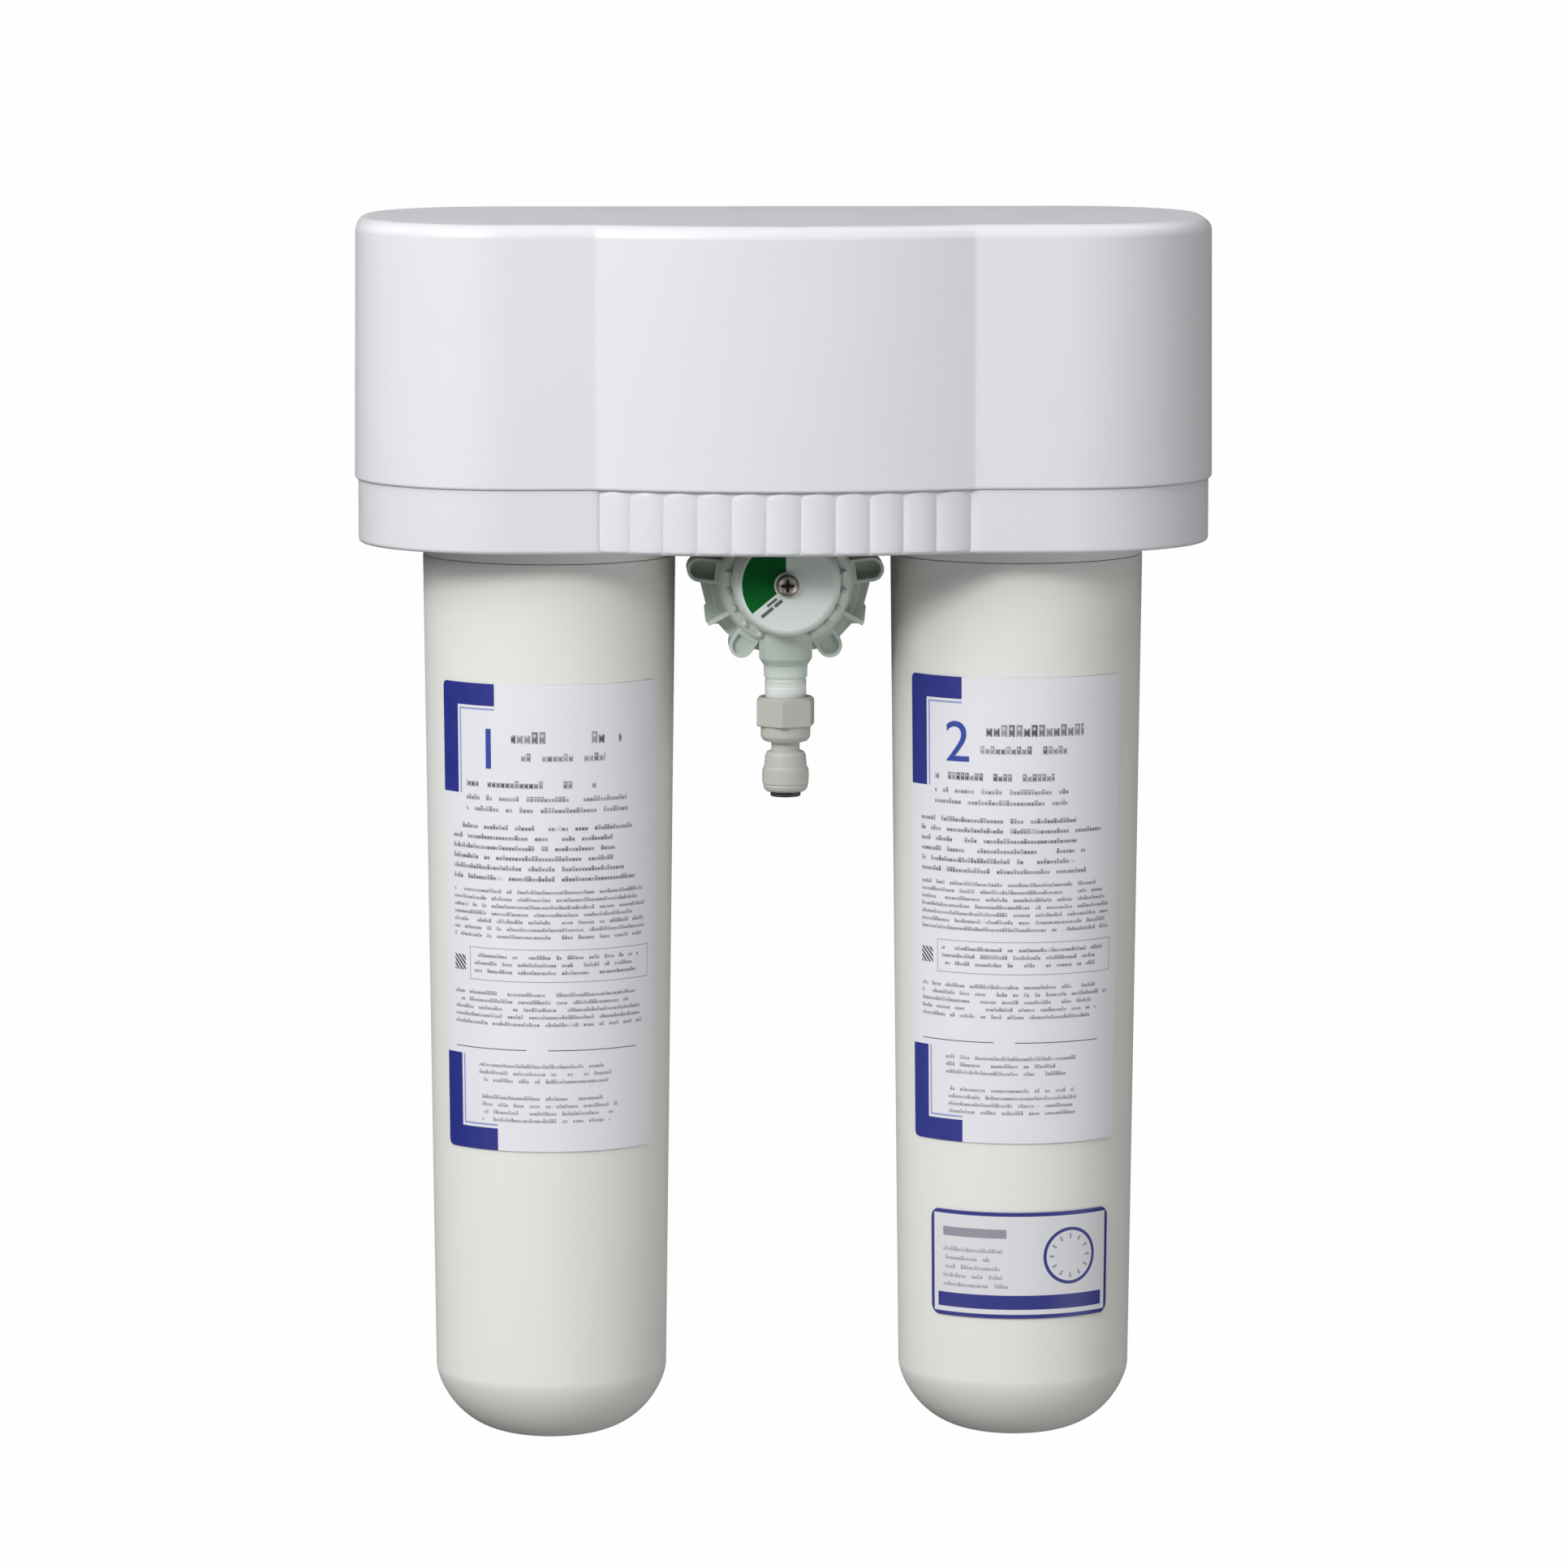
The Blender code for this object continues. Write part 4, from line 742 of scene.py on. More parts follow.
for index, cx in ((1, -AXIS_X), (2, AXIS_X)):
    here = (cx, AXIS_Y)
    body = f"cartridge_{index}"
    top = RING_Z - 0.2
    side = [(shell_radius(top + (DOME_Z - top) * k / 12), top + (DOME_Z - top) * k / 12) for k in range(1, 12)]
    outside = [(SHELL_TOP_R - 2.6, top), (SHELL_TOP_R, top, 0.3)] + side + dome_even(SHELL_LOW_R, DOME_Z + 0.7, BOTTOM_Z + 1.25, 28)
    inside = dome_even(SHELL_LOW_R - 2.6, DOME_Z + 0.7, BOTTOM_Z + 3.85, 12)
    inside.reverse()
    shell = lathe(f"shell_{index}", outside + inside, here, IVORY, steps=128, closed=True, n=4)
    dress(shell, body, "cartridge_ivory", f"cartridge_shell_{index}")
    cap = lathe(
        f"cap_{index}",
        [(0, -2), (15.5, -2, 0.5), (17, -3.5), (17, -8.0), (14.2, -8.0), (14.2, -12.0), (17, -12.0),
         (17, -20.0), (14.2, -20.0), (14.2, -24.0), (17, -24.0), (17, -47.0, 1.0),
         (36.5, -47.0, 3.0), (SHELL_TOP_R, -51.5, 1.5), (SHELL_TOP_R, RING_Z, 0.3), (38.1, RING_Z),
         (38.1, -62.0), (35.5, -62.0), (35.5, -51.5), (9.5, -51.5), (9.5, -63.0), (6.5, -63.0), (6.5, -50.0), (0, -50.0)],
        here, IVORY, steps=112,
    )
    steps = [(block((cx - 3.0, AXIS_Y - 12, -6), (cx + 3.0, AXIS_Y + 12, 8.6), round_off=0.5, n=2), "join")]
    for side_angle in (0, 180):
        a0, a1 = side_angle - 22, side_angle + 22
        loop = arc(cx, AXIS_Y, 25.5, a0, a1, 12) + arc(cx, AXIS_Y, 15.5, a1, a0, 12)
        steps.append((outline("ear", [loop], -37.6, -33.0), "join"))
    steps.append((rod(2.2, -60, 15, here, steps=24), "cut"))
    steps += [(rod(1.9, -60, 5, (cx + dx, AXIS_Y), steps=24), "cut") for dx in (-11.0, 11.0)]
    combine(cap, *steps)
    dress(cap, body, "cartridge_ivory", f"cartridge_cap_{index}")
    for name, z in (("upper", -10.0), ("lower", -22.0)):
        ring = lathe(
            f"neck_seal_{name}_{index}",
            [(16.1 + 1.5 * math.cos(a), z + 1.5 * math.sin(a)) for a in (-2 * math.pi * k / 20 for k in range(20))],
            here, RUBBER, steps=72, closed=True, level=False,
        )
        dress(ring, body, "rubber_black", f"neck_o_ring_{name}_{index}")
    dress(lathe(f"carbon_{index}", [(32.0, -72.0, 0.5), (32.0, -318.0, 0.5), (9.0, -318.0), (9.0, -72.0)], here, CARBON,
                steps=64, closed=True), body, "carbon_black", f"carbon_block_{index}")
    dress(lathe(f"core_{index}", [(8.6, -71.0), (8.6, -319.0), (7.0, -319.0), (7.0, -71.0)], here, TUBE, steps=48,
                closed=True), body, "tube_white", f"core_tube_{index}")
    dress(lathe(f"block_top_{index}",
                [(6.1, -53.0, 0.3), (6.1, -67.7, 0.5), (34.2, -67.7, 0.8), (34.2, -76.0), (32.4, -76.0), (32.4, -70.6),
                 (3.0, -70.6), (3.0, -53.0)], here, ROTOR, steps=64, closed=True), body, "rotor_acetal",
          f"block_top_cap_{index}")
    dress(lathe(f"block_bottom_{index}",
                [(0, -319.4), (32.4, -319.4), (32.4, -314.0), (34.2, -314.0), (34.2, -322.2, 0.8), (0, -322.2)], here,
                ROTOR, steps=64), body, "rotor_acetal", f"block_bottom_cap_{index}")
    rotor = lathe(f"rotor_{index}", [(0, 18.6), (16.4, 18.6), (17.8, 17.4), (17.8, 2.0, 0.8), (0, 2.0)], here, ROTOR,
                  steps=72)
    combine(rotor, (block((cx - 3.4, AXIS_Y - 12.6, -1), (cx + 3.4, AXIS_Y + 12.6, 9.2)), "cut"))
    dress(rotor, f"rotor_{index}", "rotor_acetal", f"valve_rotor_{index}")

# ------------------------------------------------------------------ labels


def chance(g, *values):
    """A random number from 0 to 1 for each set of whole numbers."""
    made = g.node("ShaderNodeTexWhiteNoise", noise_dimensions="3D")
    g.join(g.vector(*values), made.inputs["Vector"])
    return made.outputs["Value"]


def text_lines(g, u, v, x0, x1, top, lines, pitch, height, seed, ragged=10.0, dark=1.0):
    """Rows of small grey strokes in word-long groups, which spell nothing."""
    row = g.mul(g.sub(top, v), 1.0 / pitch)
    number = g.m("FLOOR", row)
    part = g.mul(g.sub(row, number), pitch)
    end = g.m("MULTIPLY_ADD", chance(g, number, seed, 1.0), -ragged, x1)
    stroke = g.mul(u, 1.0 / (0.60 * height))
    cell = g.m("FLOOR", stroke)
    spot = g.sub(stroke, cell)
    word = g.m("FLOOR", g.mul(cell, 0.5))
    gap = g.edge(chance(g, word, number, seed + 3.0), 0.17, 0.01)
    tall = g.mul(g.below(chance(g, cell, number, seed + 7.0), 0.70, 0.01), 0.30 * height)
    weight = g.m("MULTIPLY_ADD", chance(g, cell, number, seed + 9.0), 0.35, 0.65)
    middle = g.all(g.edge(spot, 0.28, 0.2), g.below(spot, 0.62, 0.2),
                   g.edge(g.m("PINGPONG", part, 0.34 * height), 0.20 * height, 0.1 * height))
    ink = g.all(
        g.edge(row, 0.0, 0.01), g.below(row, lines, 0.01), g.edge(g.sub(part, tall), 0.10, 0.14), g.below(part, height, 0.14),
        g.edge(u, x0, 0.1), g.below(u, end, 0.1), gap, g.edge(g.m("PINGPONG", spot, 0.5), 0.10, 0.16), weight,
        g.m("MULTIPLY_ADD", middle, -0.75, 1.0),
    )
    return g.mul(ink, dark)


def label_material(name, width, height, seed):
    """Printed film: lilac white, with blue angles at two corners, a plain number and rows of grey strokes."""
    g = Graph(name)
    uv = g.node("ShaderNodeUVMap", uv_map="print")
    x, y, _ = g.split(uv.outputs[0])
    u, v = g.mul(x, 200.0), g.mul(y, 200.0)  # millimetres from the lower left corner
    slow = g.noise(30.0, 2.0)
    paper = g.mix(slow, LABEL_LOW, LABEL_HIGH)
    blue = g.mix(g.noise(300.0, 3.0), (0.018, 0.026, 0.215), (0.026, 0.038, 0.270))
    ink = (0.050, 0.050, 0.065)
    top = height
    strip = g.rect(u, v, -1, 7.2, -1, height + 1)
    foot = g.rect(u, v, -1, width * 0.27, -1, 7.2)
    head = g.rect(u, v, -1, width * 0.27, top - 7.2, top + 1)
    blues = g.any(g.all(strip, g.any(g.edge(v, top - 36.0), g.below(v, 31.0))), foot, head)
    pale = g.any(
        g.rect(u, v, 8.0, 8.6, top - 36.0, top - 8.0), g.rect(u, v, 8.0, 8.6, 8.0, 31.0),
        g.rect(u, v, 8.0, width * 0.27, top - 8.6, top - 8.0), g.rect(u, v, 8.0, width * 0.27, 8.0, 8.6),
    )
    left, right = 7.6, width - 6.0
    grey = [
        text_lines(g, u, v, left + 19.5, right - 10, top - 15.0, 1, 6.0, 4.0, seed + 71.0, 0.0),
        text_lines(g, u, v, left + 19.5, right - 16, top - 22.0, 1, 5.0, 2.8, seed + 83.0, 0.0, dark=0.9),
        text_lines(g, u, v, left + 3.0, right - 18, top - 31.0, 1, 5.0, 2.6, seed + 97.0, 4.0),
        text_lines(g, u, v, left + 3.0, right - 6, top - 36.0, 2, 3.6, 1.9, seed + 1.0, 12.0, dark=0.85),
        text_lines(g, u, v, left - 3.0, right - 2, top - 45.5, 6, 3.3, 1.8, seed + 11.0, 14.0, dark=0.95),
        text_lines(g, u, v, left - 3.0, right + 2, top - 66.5, 7, 2.45, 1.5, seed + 23.0, 6.0, dark=0.85),
        text_lines(g, u, v, left + 5.5, right, top - 87.8, 3, 2.5, 1.5, seed + 31.0, 6.0, dark=0.9),
        text_lines(g, u, v, left - 3.0, right + 1, top - 100.0, 5, 2.45, 1.5, seed + 43.0, 8.0, dark=0.85),
        g.rect(u, v, left - 3.0, left + 24, top - 119.2, top - 118.9), g.rect(u, v, left + 31, right - 3, top - 119.2, top - 118.9),
        text_lines(g, u, v, left + 7, right - 8, top - 123.5, 3, 2.45, 1.5, seed + 57.0, 10.0, dark=0.8),
        text_lines(g, u, v, left + 8, right - 9, top - 134.0, 4, 2.45, 1.5, seed + 67.0, 8.0, dark=0.8),
    ]
    frame_out = g.rect(u, v, left + 3.6, right + 2.2, top - 96.8, top - 86.0)
    frame_in = g.rect(u, v, left + 3.9, right + 1.9, top - 96.5, top - 86.3)
    grey.append(g.mul(g.sub(frame_out, frame_in), 0.55))
    # A plain ruled square stands beside the box.
    grey.append(g.all(g.rect(u, v, left - 3.2, left + 1.8, top - 94.0, top - 89.0),
                      g.edge(g.m("PINGPONG", g.add(u, v), 0.8), 0.34, 0.1)))
    marks = grey[0]
    for mark in grey[1:]:
        marks = g.any(marks, mark)
    tone = g.mix(pale, paper, (0.30, 0.35, 0.62))
    tone = g.mix(g.mul(marks, 0.97), tone, ink)
    tone = g.mix(blues, tone, blue)
    rough = g.m("MULTIPLY_ADD", slow, 0.08, 0.38)
    fibre = g.noise(700.0, 2.0)
    return g.finish(tone, rough, fibre, 0.05, 0.00002)


LABEL_LOW, LABEL_HIGH = (0.785, 0.785, 0.835), (0.820, 0.820, 0.865)


def sticker_material(name, width, height):
    """Printed film with a navy edge, a few grey bars and a ring with ticks."""
    g = Graph(name)
    uv = g.node("ShaderNodeUVMap", uv_map="print")
    x, y, _ = g.split(uv.outputs[0])
    u, v = g.mul(x, 200.0), g.mul(y, 200.0)
    slow = g.noise(30.0, 2.0)
    paper = g.mix(slow, (0.72, 0.72, 0.75), (0.76, 0.76, 0.79))
    navy = (0.035, 0.040, 0.235)
    inner = g.rect(u, v, 1.3, width - 1.3, 1.3, height - 1.3)
    foot = g.rect(u, v, 2.9, width - 2.9, 2.9, 7.6)
    cx, cy = width - 15.5, height * 0.58
    away = g.m("SQRT", g.add(g.mul(g.sub(u, cx), g.sub(u, cx)), g.mul(g.sub(v, cy), g.sub(v, cy))))
    ring = g.all(g.edge(away, 8.3), g.below(away, 9.4))
    turn = g.m("ARCTAN2", g.sub(u, cx), g.sub(v, cy))
    tick = g.m("PINGPONG", g.mul(turn, 6.0 / math.pi), 0.5)
    ticks = g.all(g.below(tick, 0.10, 0.06), g.edge(away, 5.6), g.below(away, 7.3))
    bars = g.any(
        g.rect(u, v, 5.0, 27.0, height - 8.6, height - 5.6), text_lines(g, u, v, 5.0, 28.0, height - 12.0, 5, 2.9, 1.6, 5.0, 8.0),
    )
    tone = g.mix(g.mul(g.any(bars, ticks), 0.75), paper, (0.16, 0.16, 0.22))
    tone = g.mix(g.any(ring, foot, g.sub(1.0, inner)), tone, navy)
    fibre = g.noise(700.0, 2.0)
    return g.finish(tone, g.m("MULTIPLY_ADD", slow, 0.08, 0.36), fibre, 0.05, 0.00002)


def wrap(name, cx, high, low, half_angle, middle, corner, mat, lift=0.3, thick=0.2, columns=80, rows=56):
    """A thin film with rounded corners that follows the cartridge's side, with its print's map in 200 mm units."""
    height = high - low
    width = math.radians(2 * half_angle) * (shell_radius((high + low) / 2) + lift)
    mesh = bpy.data.meshes.new(name)
    shape = bmesh.new()
    layer = shape.loops.layers.uv.new("print")
    us = sorted({*(corner * (1 - math.cos(math.pi / 2 * k / 8)) for k in range(9)),
                 *(width - corner * (1 - math.cos(math.pi / 2 * k / 8)) for k in range(9)),
                 *np.linspace(corner, width - corner, columns).tolist()})

    def place(u, v, out):
        z = low + v
        a = math.radians(-90 + middle) + (u - width / 2) / width * math.radians(2 * half_angle)
        r = shell_radius(z) + lift + out
        return Vector((cx + r * math.cos(a), AXIS_Y + r * math.sin(a), z)) * MM

    front, back = [], []
    for u in us:
        d = min(u, width - u)
        cut = corner - math.sqrt(max(0.0, corner ** 2 - (corner - d) ** 2)) if d < corner else 0.0
        vs = [cut + (height - 2 * cut) * k / rows for k in range(rows + 1)]
        front.append([(shape.verts.new(place(u, v, thick)), u, v) for v in vs])
        back.append([(shape.verts.new(place(u, v, 0.0)), u, v) for v in vs])
    for grid, flip in ((front, False), (back, True)):
        for i in range(len(us) - 1):
            for k in range(rows):
                corners = [grid[i][k], grid[i + 1][k], grid[i + 1][k + 1], grid[i][k + 1]]
                if flip:
                    corners.reverse()
                face = shape.faces.new([c[0] for c in corners])
                for loop, (_, u, v) in zip(face.loops, corners):
                    loop[layer].uv = (u / 200.0, v / 200.0)
    n = len(us) - 1
    edge = [(i, 0) for i in range(n + 1)] + [(n, k) for k in range(1, rows + 1)]
    edge += [(i, rows) for i in range(n - 1, -1, -1)] + [(0, k) for k in range(rows - 1, 0, -1)]
    for (a, b), (c, d) in zip(edge, edge[1:] + edge[:1]):
        face = shape.faces.new([front[a][b][0], back[a][b][0], back[c][d][0], front[c][d][0]])
        for loop, (_, u, v) in zip(face.loops, (front[a][b], back[a][b], back[c][d], front[c][d])):
            loop[layer].uv = (u / 200.0, v / 200.0)
    bmesh.ops.recalc_face_normals(shape, faces=shape.faces)
    for face in shape.faces:
        face.smooth = True
    shape.to_mesh(mesh)
    shape.free()
    mesh.set_sharp_from_angle(angle=math.radians(32))
    return link(name, mesh, mat), width, height


def numeral(name, text, cx, high, low, half_angle, middle, u, v, size, mat, lift=0.52, depth=0.06):
    """A plain number that lies on a film. u and v are its lower left corner on the film, in millimetres."""
    width = math.radians(2 * half_angle) * (shell_radius((high + low) / 2) + 0.3)
    font = bpy.data.curves.new(name, "FONT")
    font.body = text
    font.size = size * MM
    maker = bpy.data.objects.new(name + "_maker", font)
    bpy.context.scene.collection.objects.link(maker)
    bpy.context.view_layer.update()
    mesh = bpy.data.meshes.new_from_object(maker.evaluated_get(bpy.context.evaluated_depsgraph_get()))
    bpy.data.objects.remove(maker, do_unlink=True)
    shape = bmesh.new()
    shape.from_mesh(mesh)
    bmesh.ops.remove_doubles(shape, verts=shape.verts, dist=0.000005)
    extent = max(vert.co.x for vert in shape.verts)
    x = 0.8 * MM
    while x < extent:
        bmesh.ops.bisect_plane(
            shape, geom=shape.verts[:] + shape.edges[:] + shape.faces[:], plane_co=(x, 0, 0), plane_no=(1, 0, 0)
        )
        x += 0.8 * MM
    bmesh.ops.recalc_face_normals(shape, faces=shape.faces)
    made = bmesh.ops.extrude_face_region(shape, geom=shape.faces[:])
    for item in made["geom"]:
        if isinstance(item, bmesh.types.BMVert):
            item.co.z += depth * MM
    for vert in shape.verts:
        out = vert.co.z / MM
        at, z = u + vert.co.x / MM, low + v + vert.co.y / MM
        a = math.radians(-90 + middle) + (at - width / 2) / width * math.radians(2 * half_angle)
        r = shell_radius(z) + lift + out
        vert.co = Vector((cx + r * math.cos(a), AXIS_Y + r * math.sin(a), z)) * MM
    shape.to_mesh(mesh)
    shape.free()
    tidy(mesh, 50.0)
    return link(name, mesh, mat)


INK = plastic("ink_blue", (0.035, 0.070, 0.36), 0.4, vary=0.1)
films = (
    ("film_1", "1", 1, -AXIS_X, -96.3, -248.6, 57.0, 0.0, "label_1", 0.0),
    ("film_2", "2", 2, AXIS_X, -94.5, -246.7, 55.2, -3.3, "label_2", 100.0),
)
for name, text, index, cx, high, low, half, middle, node, seed in films:
    width = math.radians(2 * half) * (shell_radius((high + low) / 2) + 0.3)
    paper = label_material(f"print_{index}", width, high - low, seed)
    film, width, height = wrap(name, cx, high, low, half, middle, 1.8, paper)
    dress(film, f"cartridge_{index}", "label_film", node)
    number = numeral(f"number_{index}", text, cx, high, low, half, middle, 14.5, height - 27.5, 19.0, INK)
    dress(number, f"cartridge_{index}", "label_film")
sticker_width = math.radians(95.0) * (shell_radius(-287.0) + 0.3)
sticker, _, _ = wrap("film_small", AXIS_X, -269.5, -304.5, 47.5, 0.5, 3.2, sticker_material("print_small", sticker_width, 35.0),
                     rows=24)
dress(sticker, "cartridge_2", "sticker_film", "sticker_2")

# ------------------------------------------------------------------ bracket and screws

section = [(-2.5, -44.0), (0, -44.0)] + arc(-3.0, 41.0, 3.0, 0, 90, 12) + [(-82.0, 44.0), (-82.0, 41.5)]
section += [(-3.0, 41.5), (-2.5, 41.0)]
bracket = outline("bracket", [section], -100.0, 100.0, STEEL, plane="YZ")
cuts = []
for x in (-62.0, 62.0):
    rise = math.degrees(math.asin(math.sqrt(36 - 9) / 6))
    loop = arc(x, 14.0, 6.0, 180 - rise, 360 + rise, 40) + arc(x, 28.0, 3.0, 0, 180, 20)
    cuts.append((outline("keyhole", [loop], -6, 6, plane="XZ"), "cut"))
cuts.append((rod(2.6, -6, 6, (0, -28.0), "Y", 32), "cut"))
cuts += [(rod(2.1, -6, 6, (x, -40.0), "Y", 24), "cut") for x in (-60.0, 60.0)]
cuts += [(rod(2.3, 35, 50, (cx + dx, AXIS_Y), steps=24), "cut") for cx in (-AXIS_X, AXIS_X) for dx in (-16.0, 16.0)]
combine(bracket, *cuts)
soften(bracket, 0.35, 2, 50.0)
dress(bracket, "root", "bracket_steel", "wall_bracket")


def screw(name, centre, seat, tip, head_r, head_h, shank_r, axis, mat, node, body, slot, cross=True):
    """A pan-head screw with a cross recess. seat is the height under its head, tip the far end of its shank."""
    out = 1.0 if seat > tip else -1.0
    top = seat + out * head_h
    profile = [
        (0, top), (head_r * 0.55, top - out * 0.05), (head_r * 0.86, top - out * head_h * 0.22),
        (head_r, top - out * head_h * 0.6), (head_r, seat, 0.15), (shank_r, seat), (shank_r, tip + out * shank_r * 0.8),
        (shank_r * 0.5, tip), (0, tip),
    ]
    piece = lathe(name, profile, centre, mat, axis, 40, n=2)
    if cross:
        reach, deep, half = head_r * 0.58, head_h * 0.62, head_r * 0.13

        def at(a, b, h0, h1, c, d):
            h0, h1 = sorted((h0, h1))
            if axis == "Z":
                return (centre[0] + a, centre[1] + c, h0), (centre[0] + b, centre[1] + d, h1)
            return (centre[0] + a, h0, centre[1] + c), (centre[0] + b, h1, centre[1] + d)

        tools = [(block(*at(-reach, reach, top - out * deep, top + out, -half, half)), "cut"),
                 (block(*at(-half, half, top - out * deep, top + out, -reach, reach)), "cut"),
                 (lathe("tool", [(0, top + out), (head_r * 0.42, top + out), (head_r * 0.32, top - out * 0.1),
                                 (0.05, top - out * deep * 1.35), (0, top - out * deep * 1.35)], centre, BLANK, axis, 20,
                        level=False), "cut")]
        combine(piece, *tools, sharp=40.0)
    return dress(piece, body, slot, node)


for head, cx in ((1, -AXIS_X), (2, AXIS_X)):
    for letter, dx in (("a", -16.0), ("b", 16.0)):
        screw(f"shelf_screw_{head}{letter}", (cx + dx, AXIS_Y), 44.3, 28.0, 4.2, 2.6, 1.8, "Z", ZINC,
              f"head_screw_{head}{letter}", "root", "zinc_steel")
for side, x in (("left", -60.0), ("right", 60.0)):
    screw(f"band_screw_{side}", (x, -40.0), -6.5, -0.4, 4.0, 2.4, 1.8, "Y", ZINC, f"base_screw_{side}", "root", "zinc_steel")
for side, x in (("left", -17.0), ("right", 17.0)):
    screw(f"tab_screw_{side}", (x, -61.0), -46.6, -54.0, 3.2, 2.0, 1.35, "Z", ZINC, f"meter_tab_screw_{side}", "root",
          "zinc_steel")

# ------------------------------------------------------------------ filter heads

for index, cx, inward in ((1, -AXIS_X, 1), (2, AXIS_X, -1)):
    head = lathe(
        f"head_{index}",
        [(0, 41.2), (27.0, 41.2, 0.8), (27.0, 35.0, 0.6), (21.5, 33.0, 0.8), (21.5, 25.5, 1.5), (29.0, 20.5, 1.5),
         (29.0, -22.0, 1.5), (34.0, -27.0, 1.5), (34.0, -44.0, 0.6), (28.0, -44.0), (28.0, -27.0), (18.2, -26.0),
         (18.2, 19.0), (0, 19.0)],
        (cx, AXIS_Y), HEAD, steps=96,
    )
    steps = []
    for z in (12.0, -8.0):
        ends = sorted((cx + inward * 24.0, cx + inward * 37.0))
        steps.append((rod(7.0, *ends, (AXIS_Y, z), "X", 48), "join"))
    for middle in (0, 180):
        loop = arc(cx, AXIS_Y, 28.8, middle - 48, middle + 48, 24) + arc(cx, AXIS_Y, 19.0, middle + 48, middle - 48, 24)
        steps.append((outline("ledge", [loop], -43.9, -41.1), "join"))
    # Eight upright webs stiffen the head's waist, as on a moulded part.
    for k in range(8):
        a = math.radians(22.5 + 45 * k)
        web = block((21.0, -1.1, 21.0), (27.6, 1.1, 34.6))
        web.data.transform(Matrix.Translation(Vector((cx, AXIS_Y, 0)) * MM) @ Matrix.Rotation(a, 4, "Z"))
        steps.append((web, "join"))
    for z in (12.0, -8.0):
        ends = sorted((cx + inward * 15.0, cx + inward * 40.0))
        steps.append((rod(BORE_R, *ends, (AXIS_Y, z), "X", 32), "cut"))
    steps += [(rod(2.1, 27.0, 50.0, (cx + dx, AXIS_Y), steps=24), "cut") for dx in (-16.0, 16.0)]
    combine(head, *steps)
    dress(head, "root", "head_grey", f"filter_head_{index}")

# ------------------------------------------------------------------ meter


def on_circle(radius, angle):
    a = math.radians(angle)
    return radius * math.sin(a), METER_Z - radius * math.cos(a)


def stadium(angle, inner, outer, half, n=14):
    """The outline, in X and Z, of an arm with a round end that points out at an angle from straight down."""
    a = math.radians(angle)
    out, across = (math.sin(a), -math.cos(a)), (math.cos(a), math.sin(a))
    points = [(-half, inner), (half, inner)]
    points += [(half * math.cos(math.pi * k / n), outer + half * math.sin(math.pi * k / n)) for k in range(n + 1)]
    return [(p * across[0] + q * out[0], METER_Z + p * across[1] + q * out[1]) for p, q in points]


def radial(angle, inner, outer, half, front, back):
    """A flat bar along a radius. front and back are its y at the inner end, and it slopes back to its tip."""
    mesh = bpy.data.meshes.new("rib")
    shape = bmesh.new()
    bmesh.ops.create_cube(shape, size=1.0)
    for v in shape.verts:
        tip = v.co.x > 0
        r = outer if tip else inner
        y = (front if not tip else front + 1.6) if v.co.y < 0 else back
        v.co = Vector((r, y, half if v.co.z > 0 else -half)) * MM
    shape.to_mesh(mesh)
    shape.free()
    tidy(mesh)
    a = math.radians(angle)
    turn = Matrix(((math.sin(a), 0, math.cos(a), 0), (0, 1, 0, 0), (-math.cos(a), 0, math.sin(a), METER_Z * MM), (0, 0, 0, 1)))
    mesh.transform(turn)
    tidy(mesh)
    return link("rib", mesh, BLANK)


meter = lathe(
    "meter_body",
    [(3.4, -88.3, 0.2), (18.6, -88.3, 0.8), (20.6, -86.6, 1.2), (21.5, -84.0), (22.0, -78.4, 0.6), (24.6, -78.0, 0.6),
     (24.6, -74.0), (17.4, -74.0), (17.4, -85.6, 0.8), (3.4, -85.6)],
    (0, METER_Z), METER, "Y", steps=112, closed=True,
)
flange = []
for side in (1, -1):
    half = [(0.0, 25.0), (25.0, 25.3), (43.5, 26.0), (55.7, 26.2), (59.6, 29.2, 0.3), (62.0, 29.2, 0.3), (70.7, 27.8, 0.4),
            (72.0, 27.0), (87.0, 27.5), (108.0, 26.8), (118.0, 24.2), (150.0, 24.2), (180.0, 24.2)]
    half = [(*on_circle(p[1], side * p[0]), *p[2:]) for p in half]
    flange += half if side == 1 else half[-2:0:-1]
flange = fillet(flange, 3, closed=True)
middle = [on_circle(20.0, 6 * k) for k in range(60)]
steps = [(soften(outline("flange", [flange, middle], -77.7, -74.2, plane="XZ"), 0.35, 2, 50.0), "join")]
neck = lathe(
    "neck",
    [(0, -80.8), (8.6, -80.8), (8.6, -89.2, 1.2), (7.1, -91.6, 0.8), (6.98, -95.3, 0.2), (6.62, -95.6, 0.1),
     (6.55, -96.1, 0.1), (6.72, -96.5, 0.2), (6.72, -98.1, 0.15), (6.6, -98.4, 0.1), (6.7, -98.7, 0.15), (6.55, -110.5), (0, -110.5)],
    (0, NECK_Y), METER, steps=72, level=False,
)
steps.append((neck, "join"))
steps.append((rod(6.0, -46.0, -35.0, (0, -80.5), steps=48), "join"))
for angle, circle in BOSSES:
    steps.append((soften(outline("arm", [stadium(angle, 20.0, circle, BOSS_R)], -83.5, -74.0, plane="XZ"), 0.35, 2, 50.0), "join"))
for angle in RIBS:
    steps.append((radial(angle, 20.4, 28.9, 0.75, -85.3, -74.5), "join"))
for angle, circle in BOSSES:
    steps.append((outline("pocket", [stadium(angle, 22.9, circle, BOSS_R - 1.05)], -90.0, -79.4 if abs(angle) > 40 else -81.9, plane="XZ"), "cut"))
steps.append((rod(4.0, -115.0, -80.0, (0, NECK_Y), steps=36), "cut"))
steps.append((rod(BORE_R, -40.5, -30.0, (0, -80.5), steps=36), "cut"))
